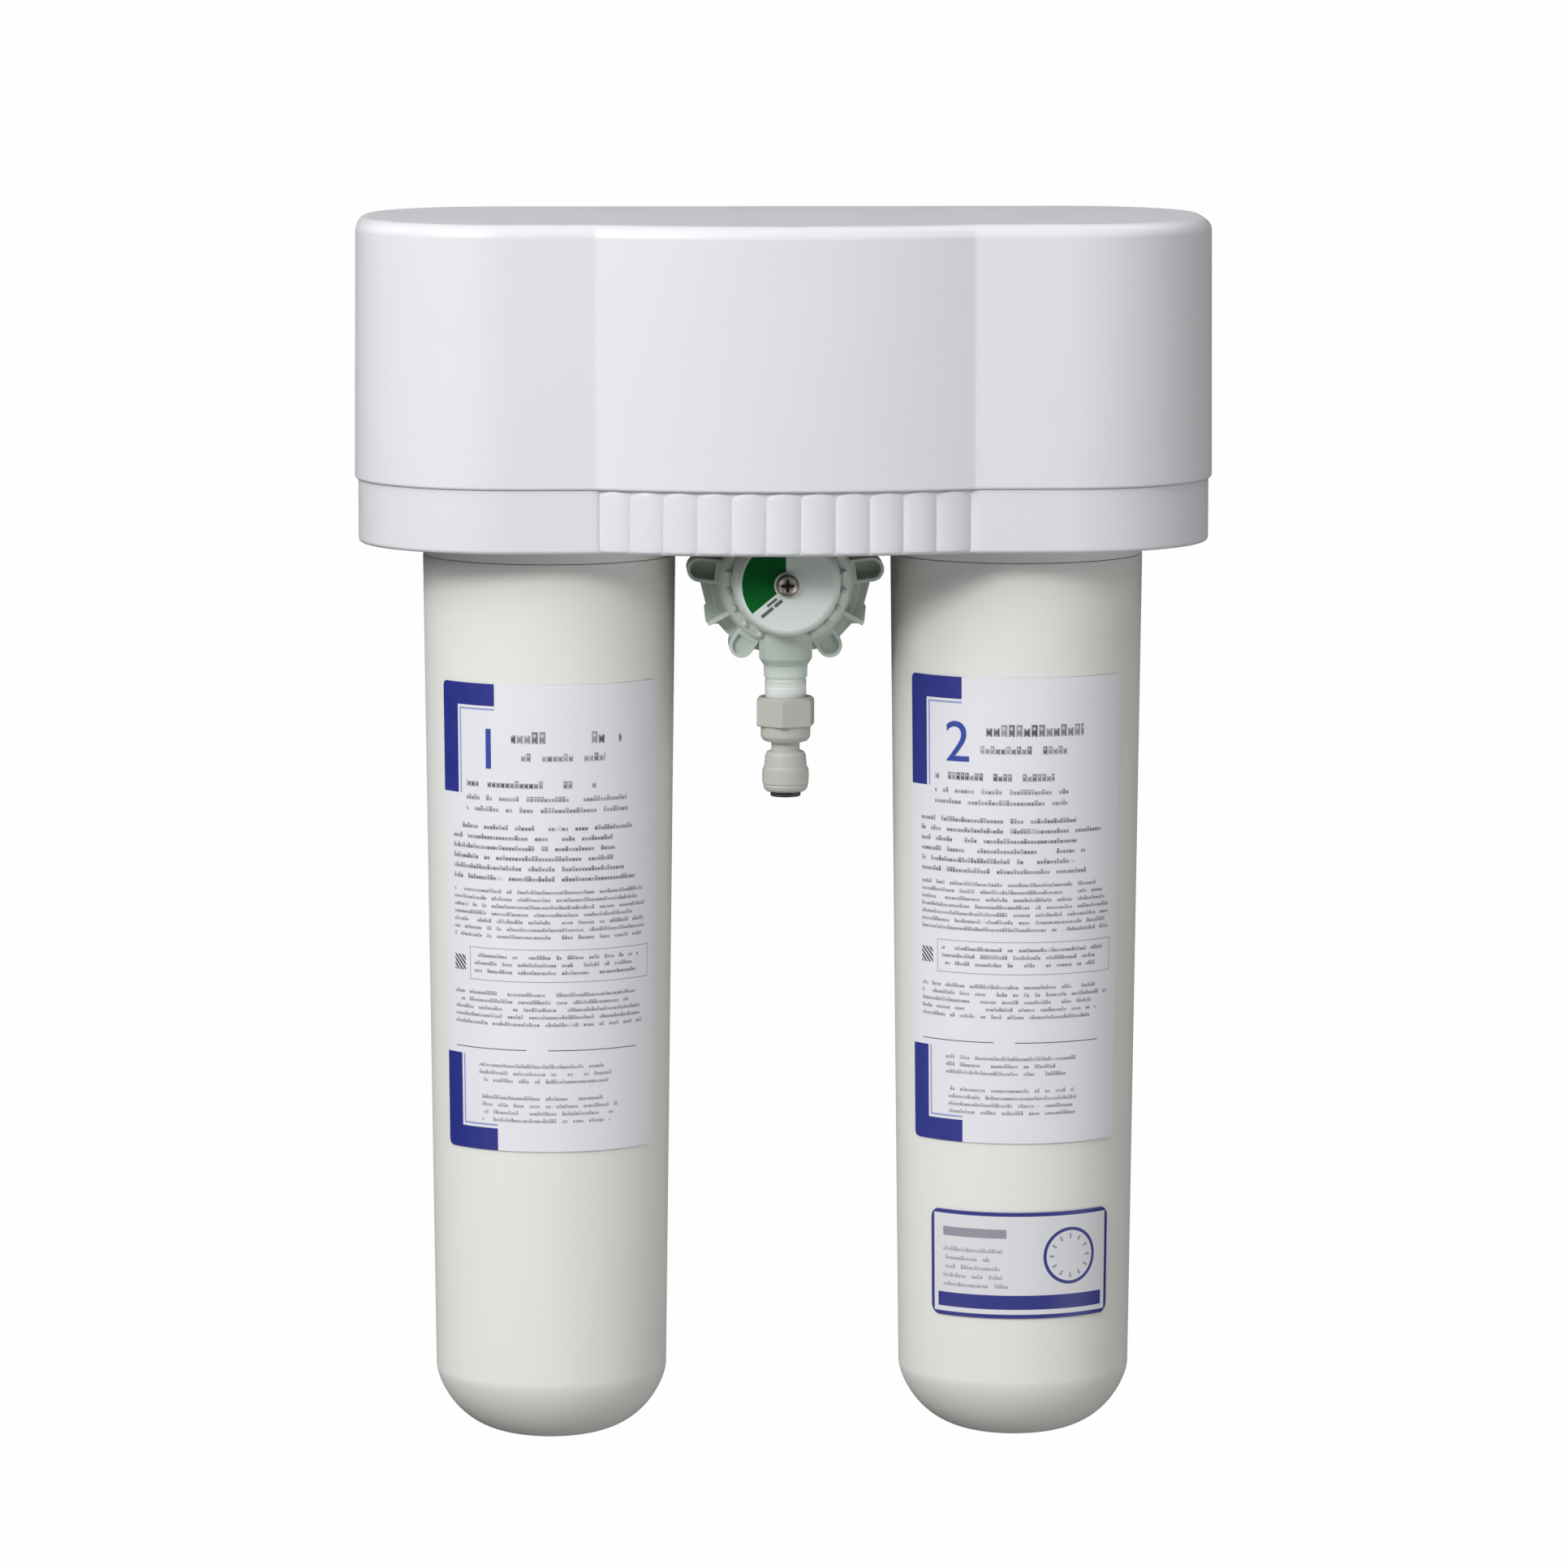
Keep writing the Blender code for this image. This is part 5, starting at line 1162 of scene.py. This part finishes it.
steps.append((rod(2.4, -50.0, -36.0, (0, -80.5), steps=24), "cut"))
for angle, circle in BOSSES:
    steps.append((rod(1.65, -78.8, -70.0, on_circle(circle, angle), "Y", 20), "cut"))
steps.append((lathe("groove", [(20.7, -76.2), (20.7, -73.0), (18.4, -73.0), (18.4, -76.2)], (0, METER_Z), BLANK, "Y", 96,
                    closed=True, level=False), "cut"))
for k in range(20):  # small nubs round the dial's edge
    x, z = on_circle(18.95, 9 + 18 * k)
    steps.append((lathe("nub", [(0, -90.0), (0.5, -89.9), (0.95, -89.4), (1.05, -88.6), (1.05, -87.0), (0, -87.0)], (x, z), BLANK,
                        "Y", 12, n=1, level=False), "join"))
combine(meter, *steps, sharp=38.0)
dress(meter, "root", "meter_green", "meter_housing")

plate = lathe("meter_back", [(0, -73.7), (25.3, -73.7, 0.3), (25.3, -70.5, 0.6), (0, -70.5)], (0, METER_Z), METER, "Y", 96)
steps = [(rod(BOSS_R, -73.7, -70.5, on_circle(circle, angle), "Y", 32), "join") for angle, circle in BOSSES]
steps.append((block((-22, -73.2, -49.4), (22, -56.0, -46.9)), "join"))
steps += [(rod(1.7, -77.0, -65.0, on_circle(circle, angle), "Y", 20), "cut") for angle, circle in BOSSES]
steps += [(rod(1.7, -53.0, -43.0, (x, -61.0), steps=20), "cut") for x in (-17.0, 17.0)]
combine(plate, *steps)
dress(plate, "root", "meter_green", "meter_back_plate")
for number, (angle, circle) in enumerate(BOSSES, 1):
    screw(f"back_screw_{number}", on_circle(circle, angle), -70.2, -78.4, 2.9, 1.9, 1.3, "Y", ZINC,
          f"meter_screw_{number}", "root", "zinc_steel")
gasket = lathe(
    "meter_seal",
    [(19.55 + 0.8 * math.cos(a), -75.05 + 0.8 * math.sin(a)) for a in (2 * math.pi * k / 14 for k in range(14))],
    (0, METER_Z), RUBBER, "Y", 72, closed=True, level=False,
)
dress(gasket, "root", "rubber_black", "meter_gasket")


def dial_material():
    """White cup with a dark green sector and short ticks round its edge."""
    g = Graph("dial_print")
    x, y, z = g.split(g.object_point())
    px, pz = g.mul(x, 1000.0), g.sub(g.mul(z, 1000.0), METER_Z)
    py = g.mul(y, 1000.0)
    away = g.m("SQRT", g.add(g.mul(px, px), g.mul(pz, pz)))
    turn = g.m("ARCTAN2", g.mul(px, -1.0), pz)  # from straight up towards the left, in radians
    wide = math.radians(129.5)
    front = g.below(py, DIAL_FACE_Y + 1.6, 0.1)
    arc_edge = 0.10
    inside = g.all(
        g.edge(g.mul(turn, away), 0.45, arc_edge), g.edge(g.mul(g.sub(wide, turn), away), 0.0, arc_edge),
        g.edge(away, 4.3, 0.12), g.below(away, 14.6, 0.12), front,
    )
    slow = g.noise(60.0, 2.0)
    fine = g.noise(1500.0, 2.0)
    white = g.mix(slow, (0.715, 0.770, 0.730), (0.750, 0.802, 0.765))
    green = g.mix(g.noise(160.0, 3.0), (0.001, 0.100, 0.014), (0.002, 0.128, 0.022))
    along = g.add(g.mul(px, -math.sin(wide)), g.mul(pz, math.cos(wide)))
    across = g.sub(g.mul(px, -math.cos(wide)), g.mul(pz, math.sin(wide)))
    bars = g.all(front, g.any(
        g.rect(along, across, 5.4, 9.4, 0.75, 1.65, 0.3), g.rect(along, across, 4.4, 7.6, 2.15, 3.3, 0.3),
        g.rect(along, across, 8.2, 13.0, 2.15, 3.3, 0.3)))
    tone = g.mix(g.mul(bars, 0.9), white, (0.040, 0.058, 0.062))
    tone = g.mix(inside, tone, green)
    set_shader(g, subsurface=0.08, depth=0.002, specular=0.14)
    return g.finish(tone, g.m("MULTIPLY_ADD", slow, 0.08, 0.42), fine, 0.06, 0.00003)


dial = lathe(
    "dial",
    [(1.5, DIAL_FACE_Y - 0.35, 0.2), (4.3, DIAL_FACE_Y - 0.35, 0.2), (4.5, DIAL_FACE_Y + 0.05), (14.9, DIAL_FACE_Y + 0.35, 0.5),
     (15.9, DIAL_FACE_Y + 1.0, 1.0), (16.9, DIAL_FACE_Y + 3.4, 2.2), (DIAL_R, DIAL_RIM_Y, 0.4), (16.2, DIAL_RIM_Y, 0.4),
     (15.4, DIAL_FACE_Y + 5.2, 1.0), (13.2, DIAL_FACE_Y + 2.6, 0.6), (5.2, DIAL_FACE_Y + 2.2), (5.2, -89.2), (3.3, -89.2),
     (3.3, DIAL_FACE_Y + 1.8), (1.5, DIAL_FACE_Y + 1.8)],
    (0, METER_Z), dial_material(), "Y", steps=128, closed=True, n=4,
)
dress(dial, "dial", "dial_white", "meter_dial")
screw("dial_bolt", (0, METER_Z), DIAL_FACE_Y - 0.8, -92.0, 3.6, 2.2, 1.2, "Y", DULL, "dial_screw", "dial", "dial_screw_steel")


def gear(name, teeth, phase, front, back, cx, cz):
    pitch = teeth * 0.6 / 2
    tip, root = pitch + 0.85 * 0.6, pitch - 1.1 * 0.6
    loop = []
    for tooth in range(teeth):
        middle = phase + 360.0 * tooth / teeth
        for r, share in ((root, -0.30), (pitch, -0.22), (tip, -0.11), (tip, 0.11), (pitch, 0.22), (root, 0.30)):
            a = math.radians(middle + share * 360.0 / teeth)
            loop.append((cx + r * math.cos(a), cz + r * math.sin(a)))
    return outline(name, [loop], front, back, plane="XZ")


spindle = lathe("dial_spindle", [(0, -98.0), (3.0, -98.0, 0.3), (3.0, -80.2, 0.3), (0, -80.2)], (0, METER_Z), GEAR, "Y", 36)
combine(spindle, (gear("teeth", 28, 50.0, -85.0, -82.8, 0, METER_Z), "join"), (rod(1.5, -110, -91.2, (0, METER_Z), "Y", 20), "cut"))
dress(spindle, "dial", "gear_acetal", "dial_gear")
px, pz = 12.25 * math.cos(math.radians(50)), METER_Z + 12.25 * math.sin(math.radians(50))
pinion = lathe(
    "pinion_wheel",
    [(0, -85.2), (1.2, -85.2), (1.2, -80.4), (4.2, -80.4, 0.3), (4.2, -78.4, 0.3), (1.2, -78.4), (1.2, -74.4), (0, -74.4)],
    (px, pz), GEAR, "Y", 36,
)
combine(pinion, (gear("teeth", 12, 50.0 + 180.0 + 15.0, -84.9, -82.9, px, pz), "join"))
dress(pinion, "pinion", "gear_acetal", "drive_pinion")
ix, iz = -8.5, METER_Z - 7.5
wheel = lathe("paddle_wheel", [(1.3, -81.6), (2.6, -81.6), (2.6, -75.4), (1.3, -75.4)], (ix, iz), GEAR, "Y", 36, closed=True)
steps = []
for k in range(6):
    a = math.radians(60 * k)
    blade = block((-0.5, -81.0, 2.0), (0.5, -76.0, 5.4), round_off=0.15, n=2)
    blade.data.transform(Matrix.Translation(Vector((ix, 0, iz)) * MM) @ Matrix.Rotation(a, 4, "Y"))
    steps.append((blade, "join"))
combine(wheel, *steps)
dress(wheel, "impeller", "gear_acetal", "impeller")
dress(rod(0.95, -85.2, -74.1, (ix, iz), "Y", 24, ZINC, "paddle_axle"), "root", "zinc_steel", "impeller_shaft")

# ------------------------------------------------------------------ fittings

adapter = lathe(
    "outlet_fitting",
    [(6.75, -101.8), (8.8, -101.8, 0.4), (8.8, -108.0), (8.5, -111.3), (8.05, -111.7, 0.25), (8.05, -114.7, 1.0), (7.1, -116.1, 1.0),
     (4.6, -116.8, 0.4), (4.6, -119.2, 0.3), (6.0, -119.7, 0.6), (6.6, -120.9, 0.7), (6.85, -123.8), (6.95, -124.5, 0.1), (7.45, -125.3, 0.35),
     (7.58, -127.2), (7.48, -130.0, 0.15), (7.2, -130.25, 0.08), (7.2, -130.55, 0.08), (7.3, -130.85, 0.2), (6.85, -132.0, 0.7), (6.05, -132.6, 0.2),
     (5.2, -132.6), (5.2, -130.3), (4.7, -130.3), (4.7, -122.6), (5.25, -122.6), (5.25, -119.9), (4.0, -119.3), (BORE_R, -119.3),
     (BORE_R, -113.6), (2.4, -113.6), (2.4, -111.6), (6.75, -110.9)],
    (0, NECK_Y), FITTING, steps=96, closed=True, n=4,
)
hexagon = [
    (17.7 / math.sqrt(3) * math.cos(math.radians(a)), NECK_Y + 17.7 / math.sqrt(3) * math.sin(math.radians(a)))
    for a in (21.5, 81.5, 141.5, 201.5, 261.5, 321.5)
]
nut = soften(outline("nut", [hexagon], -111.3, -102.0), 0.55, 4, 40.0)
corner = lathe("tool", [(0, -101.0), (8.5, -101.0), (8.5, -101.9), (9.6, -102.7), (10.6, -104.0), (10.6, -110.0), (9.9, -110.9), (8.8, -111.9), (0, -112.0)],
               (0, NECK_Y), BLANK, steps=72, level=False)
step = nut.modifiers.new("round", "BOOLEAN")
step.operation, step.solver, step.object = "INTERSECT", "EXACT", corner
bake(nut)
bpy.data.objects.remove(corner, do_unlink=True)
combine(nut, (rod(7.9, -115, -95, (0, NECK_Y), steps=48), "cut"), level=False)
combine(adapter, (nut, "join"), sharp=30.0)
dress(adapter, "root", "fitting_grey", "outlet_adapter")


def collet(name, centre, low, body, node):
    piece = lathe(
        name,
        [(4.3, low + 9.8), (4.3, low + 1.9), (4.9, low + 1.9, 0.15), (4.9, low, 0.45), (3.3, low, 0.3), (3.3, low + 9.8)],
        centre, COLLET, steps=64, closed=True, n=3,
    )
    return dress(piece, body, "collet_dark", node)


def seal(name, centre, z, node):
    piece = lathe(
        name, [(4.25 + 0.75 * math.cos(a), z + 0.75 * math.sin(a)) for a in (-2 * math.pi * k / 12 for k in range(12))],
        centre, RUBBER, steps=48, closed=True, level=False,
    )
    return dress(piece, "root", "rubber_black", node)


collet("outlet_ring", (0, NECK_Y), -134.3, "outlet_collet", "outlet_collet")
seal("outlet_seal", (0, NECK_Y), -120.9, "outlet_o_ring")
inlet = lathe(
    "inlet_body",
    [(6.5, -38.0, 0.4), (6.5, -46.5), (11.0, -46.5, 0.4), (11.0, -49.4, 0.4), (8.1, -49.4), (8.1, -57.2, 0.3), (7.55, -58.0),
     (7.55, -76.6, 0.3), (7.3, -77.0), (7.4, -77.4, 0.2), (6.2, -79.0, 0.4), (5.2, -79.0), (5.2, -76.7), (4.7, -76.7),
     (4.7, -69.0), (5.25, -69.0), (5.25, -65.9), (4.0, -65.7), (BORE_R, -65.7), (BORE_R, -60.0), (2.4, -60.0), (2.4, -44.5), (BORE_R, -44.5),
     (BORE_R, -38.0)],
    (0, INLET_Y), FITTING, steps=80, closed=True, n=3,
)
dress(inlet, "root", "fitting_grey", "inlet_fitting")
hexagon = [(12.0 * math.cos(math.radians(60 * k)), INLET_Y + 12.0 * math.sin(math.radians(60 * k))) for k in range(6)]
inlet_nut = outline("inlet_ring_nut", [hexagon], -56.4, -52.8, FITTING)
combine(inlet_nut, (rod(8.5, -60, -50, (0, INLET_Y), steps=48), "cut"))
soften(inlet_nut, 0.3, 2)
dress(inlet_nut, "root", "fitting_grey", "inlet_nut")
seal("inlet_seal", (0, INLET_Y), -67.3, "inlet_o_ring")
collet("inlet_ring", (0, INLET_Y), -80.7, "inlet_collet", "inlet_collet")

# ------------------------------------------------------------------ tubes


def smooth_route(points, steps):
    knots = [Vector(p) for p in points]
    knots = [2 * knots[0] - knots[1]] + knots + [2 * knots[-1] - knots[-2]]
    route = []
    for i in range(1, len(knots) - 2):
        a, b, c, d = knots[i - 1 : i + 3]
        for k in range(steps):
            t = k / steps
            route.append(0.5 * (2 * b + (c - a) * t + (2 * a - 5 * b + 4 * c - d) * t * t + (3 * b - a - 3 * c + d) * t ** 3))
    route.append(knots[-2])
    return route


def tube(name, points, steps, node):
    wire = bpy.data.curves.new(name, "CURVE")
    wire.dimensions = "3D"
    wire.bevel_depth = TUBE_R * MM
    wire.bevel_resolution = 6
    wire.use_fill_caps = True
    strand = wire.splines.new("POLY")
    route = smooth_route(points, steps)
    strand.points.add(len(route) - 1)
    for point, place in zip(strand.points, route):
        point.co = (*(place * MM), 1)
    maker = bpy.data.objects.new(name + "_maker", wire)
    bpy.context.scene.collection.objects.link(maker)
    bpy.context.view_layer.update()
    mesh = bpy.data.meshes.new_from_object(maker.evaluated_get(bpy.context.evaluated_depsgraph_get()))
    bpy.data.objects.remove(maker, do_unlink=True)
    tidy(mesh, 40.0)
    return dress(link(name, mesh, TUBE), "root", "tube_white", node)


PORT = AXIS_X - 31.0
tube("tube_across", [(-PORT, AXIS_Y, 12.0), (0, AXIS_Y, 12.0), (PORT, AXIS_Y, 12.0)], 4, "crossover_tube")
tube("tube_feed", [(0, INLET_Y, -44.0), (0, INLET_Y, -34.0), (-2.5, INLET_Y - 3, -24.0), (-12, -40, -13.0), (-25, -52.5, -8.8),
                   (-35.5, AXIS_Y, -8.0), (-38.5, AXIS_Y, -8.0), (-PORT, AXIS_Y, -8.0)], 8, "feed_tube")
tube("tube_out", [(0, -80.5, -40.0), (0, -80.5, -32.0), (2, -79.5, -23.5), (10, -74, -14.0), (22, -64.5, -9.2),
                  (35.5, AXIS_Y, -8.0), (38.5, AXIS_Y, -8.0), (PORT, AXIS_Y, -8.0)], 8, "outlet_tube")

# ------------------------------------------------------------------ stage, light and camera

bpy.data.materials.remove(BLANK)


def stage_material():
    """A pale floor that stays even, and that lets a view from below through."""
    mat = bpy.data.materials.new("stage_pale")
    mat.use_nodes = True
    tree = mat.node_tree
    tree.nodes.clear()
    out = tree.nodes.new("ShaderNodeOutputMaterial")
    glow = tree.nodes.new("ShaderNodeEmission")
    glow.inputs["Color"].default_value = (0.991, 0.991, 0.993, 1.0)
    glow.inputs["Strength"].default_value = 1.0
    clear = tree.nodes.new("ShaderNodeBsdfTransparent")
    facing = tree.nodes.new("ShaderNodeNewGeometry")
    pick = tree.nodes.new("ShaderNodeMixShader")
    tree.links.new(facing.outputs["Backfacing"], pick.inputs[0])
    tree.links.new(glow.outputs[0], pick.inputs[1])
    tree.links.new(clear.outputs[0], pick.inputs[2])
    tree.links.new(pick.outputs[0], out.inputs["Surface"])
    return mat


floor_mesh = bpy.data.meshes.new("floor")
shape = bmesh.new()
bmesh.ops.create_grid(shape, x_segments=1, y_segments=1, size=60.0)
shape.to_mesh(floor_mesh)
shape.free()
floor = link("floor", floor_mesh, stage_material())
floor.location = (0, 0, -0.3500)
for ray in ("visible_diffuse", "visible_glossy", "visible_transmission", "visible_shadow", "visible_volume_scatter"):
    setattr(floor, ray, False)


def area_light(name, azimuth, elevation, power, distance=2.8, size=1.5, colour=(1, 1, 1), aim=(0, -0.06, -0.13)):
    """Azimuth 0 is in front, negative to the left."""
    a, e = math.radians(azimuth), math.radians(elevation)
    light = bpy.data.lights.new(name, "AREA")
    light.shape = "RECTANGLE"
    light.size, light.size_y = size, size
    light.energy = power
    light.color = colour
    made = bpy.data.objects.new(name, light)
    back = Vector((math.sin(a) * math.cos(e), -math.cos(a) * math.cos(e), math.sin(e)))
    made.location = Vector(aim) + back * distance
    made.rotation_mode = "QUATERNION"
    made.rotation_quaternion = back.to_track_quat("Z", "Y")
    bpy.context.scene.collection.objects.link(made)
    return made


LIGHTS = {
    "key_wide": dict(azimuth=-45, elevation=30, power=39.6),
    "key_small": dict(azimuth=-30, elevation=28, power=22.5, size=0.5),
    "key_top": dict(azimuth=-45, elevation=60, power=17.8),
    "front_small": dict(azimuth=15, elevation=28, power=4.4, size=0.5),
    "front_right": dict(azimuth=45, elevation=30, power=10.2),
    "side_left": dict(azimuth=-110, elevation=30, power=13.3),
    "side_right": dict(azimuth=110, elevation=60, power=20.5),
    "below_right": dict(azimuth=60, elevation=-30, power=20.0),
    "below_left": dict(azimuth=-60, elevation=-30, power=8.0),
    "below_front": dict(azimuth=0, elevation=-35, power=8.0),
}
for name, spec in LIGHTS.items():
    area_light(name, **spec)

world = bpy.data.worlds.new("studio")
world.use_nodes = True
tree = world.node_tree
tree.nodes.clear()
out = tree.nodes.new("ShaderNodeOutputWorld")
dim = tree.nodes.new("ShaderNodeBackground")
dim.inputs["Color"].default_value = (0.97, 0.98, 1.0, 1.0)
dim.inputs["Strength"].default_value = 0.012
seen = tree.nodes.new("ShaderNodeBackground")
seen.inputs["Color"].default_value = (0.991, 0.991, 0.993, 1.0)
seen.inputs["Strength"].default_value = 1.0
path = tree.nodes.new("ShaderNodeLightPath")
pick = tree.nodes.new("ShaderNodeMixShader")
tree.links.new(path.outputs["Is Camera Ray"], pick.inputs[0])
tree.links.new(dim.outputs[0], pick.inputs[1])
tree.links.new(seen.outputs[0], pick.inputs[2])
tree.links.new(pick.outputs[0], out.inputs["Surface"])
bpy.context.scene.world = world

view = bpy.context.scene.view_settings
view.view_transform = "Standard"
view.look = "None"
view.exposure = 0.0
view.gamma = 1.0

camera_data = bpy.data.cameras.new("camera")
camera_data.sensor_width = 36.0
camera_data.lens = 36.0 * 10164.5 / 1932.0
camera_data.clip_start, camera_data.clip_end = 0.1, 200.0
camera = bpy.data.objects.new("camera", camera_data)
bpy.context.scene.collection.objects.link(camera)
pitch, yaw, roll = math.radians(7.152), math.radians(2.023), math.radians(-0.044)
ahead = Vector((math.sin(yaw) * math.cos(pitch), math.cos(yaw) * math.cos(pitch), -math.sin(pitch)))
camera.location = Vector((0.0004, -0.058, -0.1336)) - ahead * 2.7
camera.rotation_euler = (
    Matrix.Rotation(-yaw, 3, "Z") @ Matrix.Rotation(math.pi / 2 - pitch, 3, "X") @ Matrix.Rotation(-roll, 3, "Z")
).to_euler()
bpy.context.scene.camera = camera
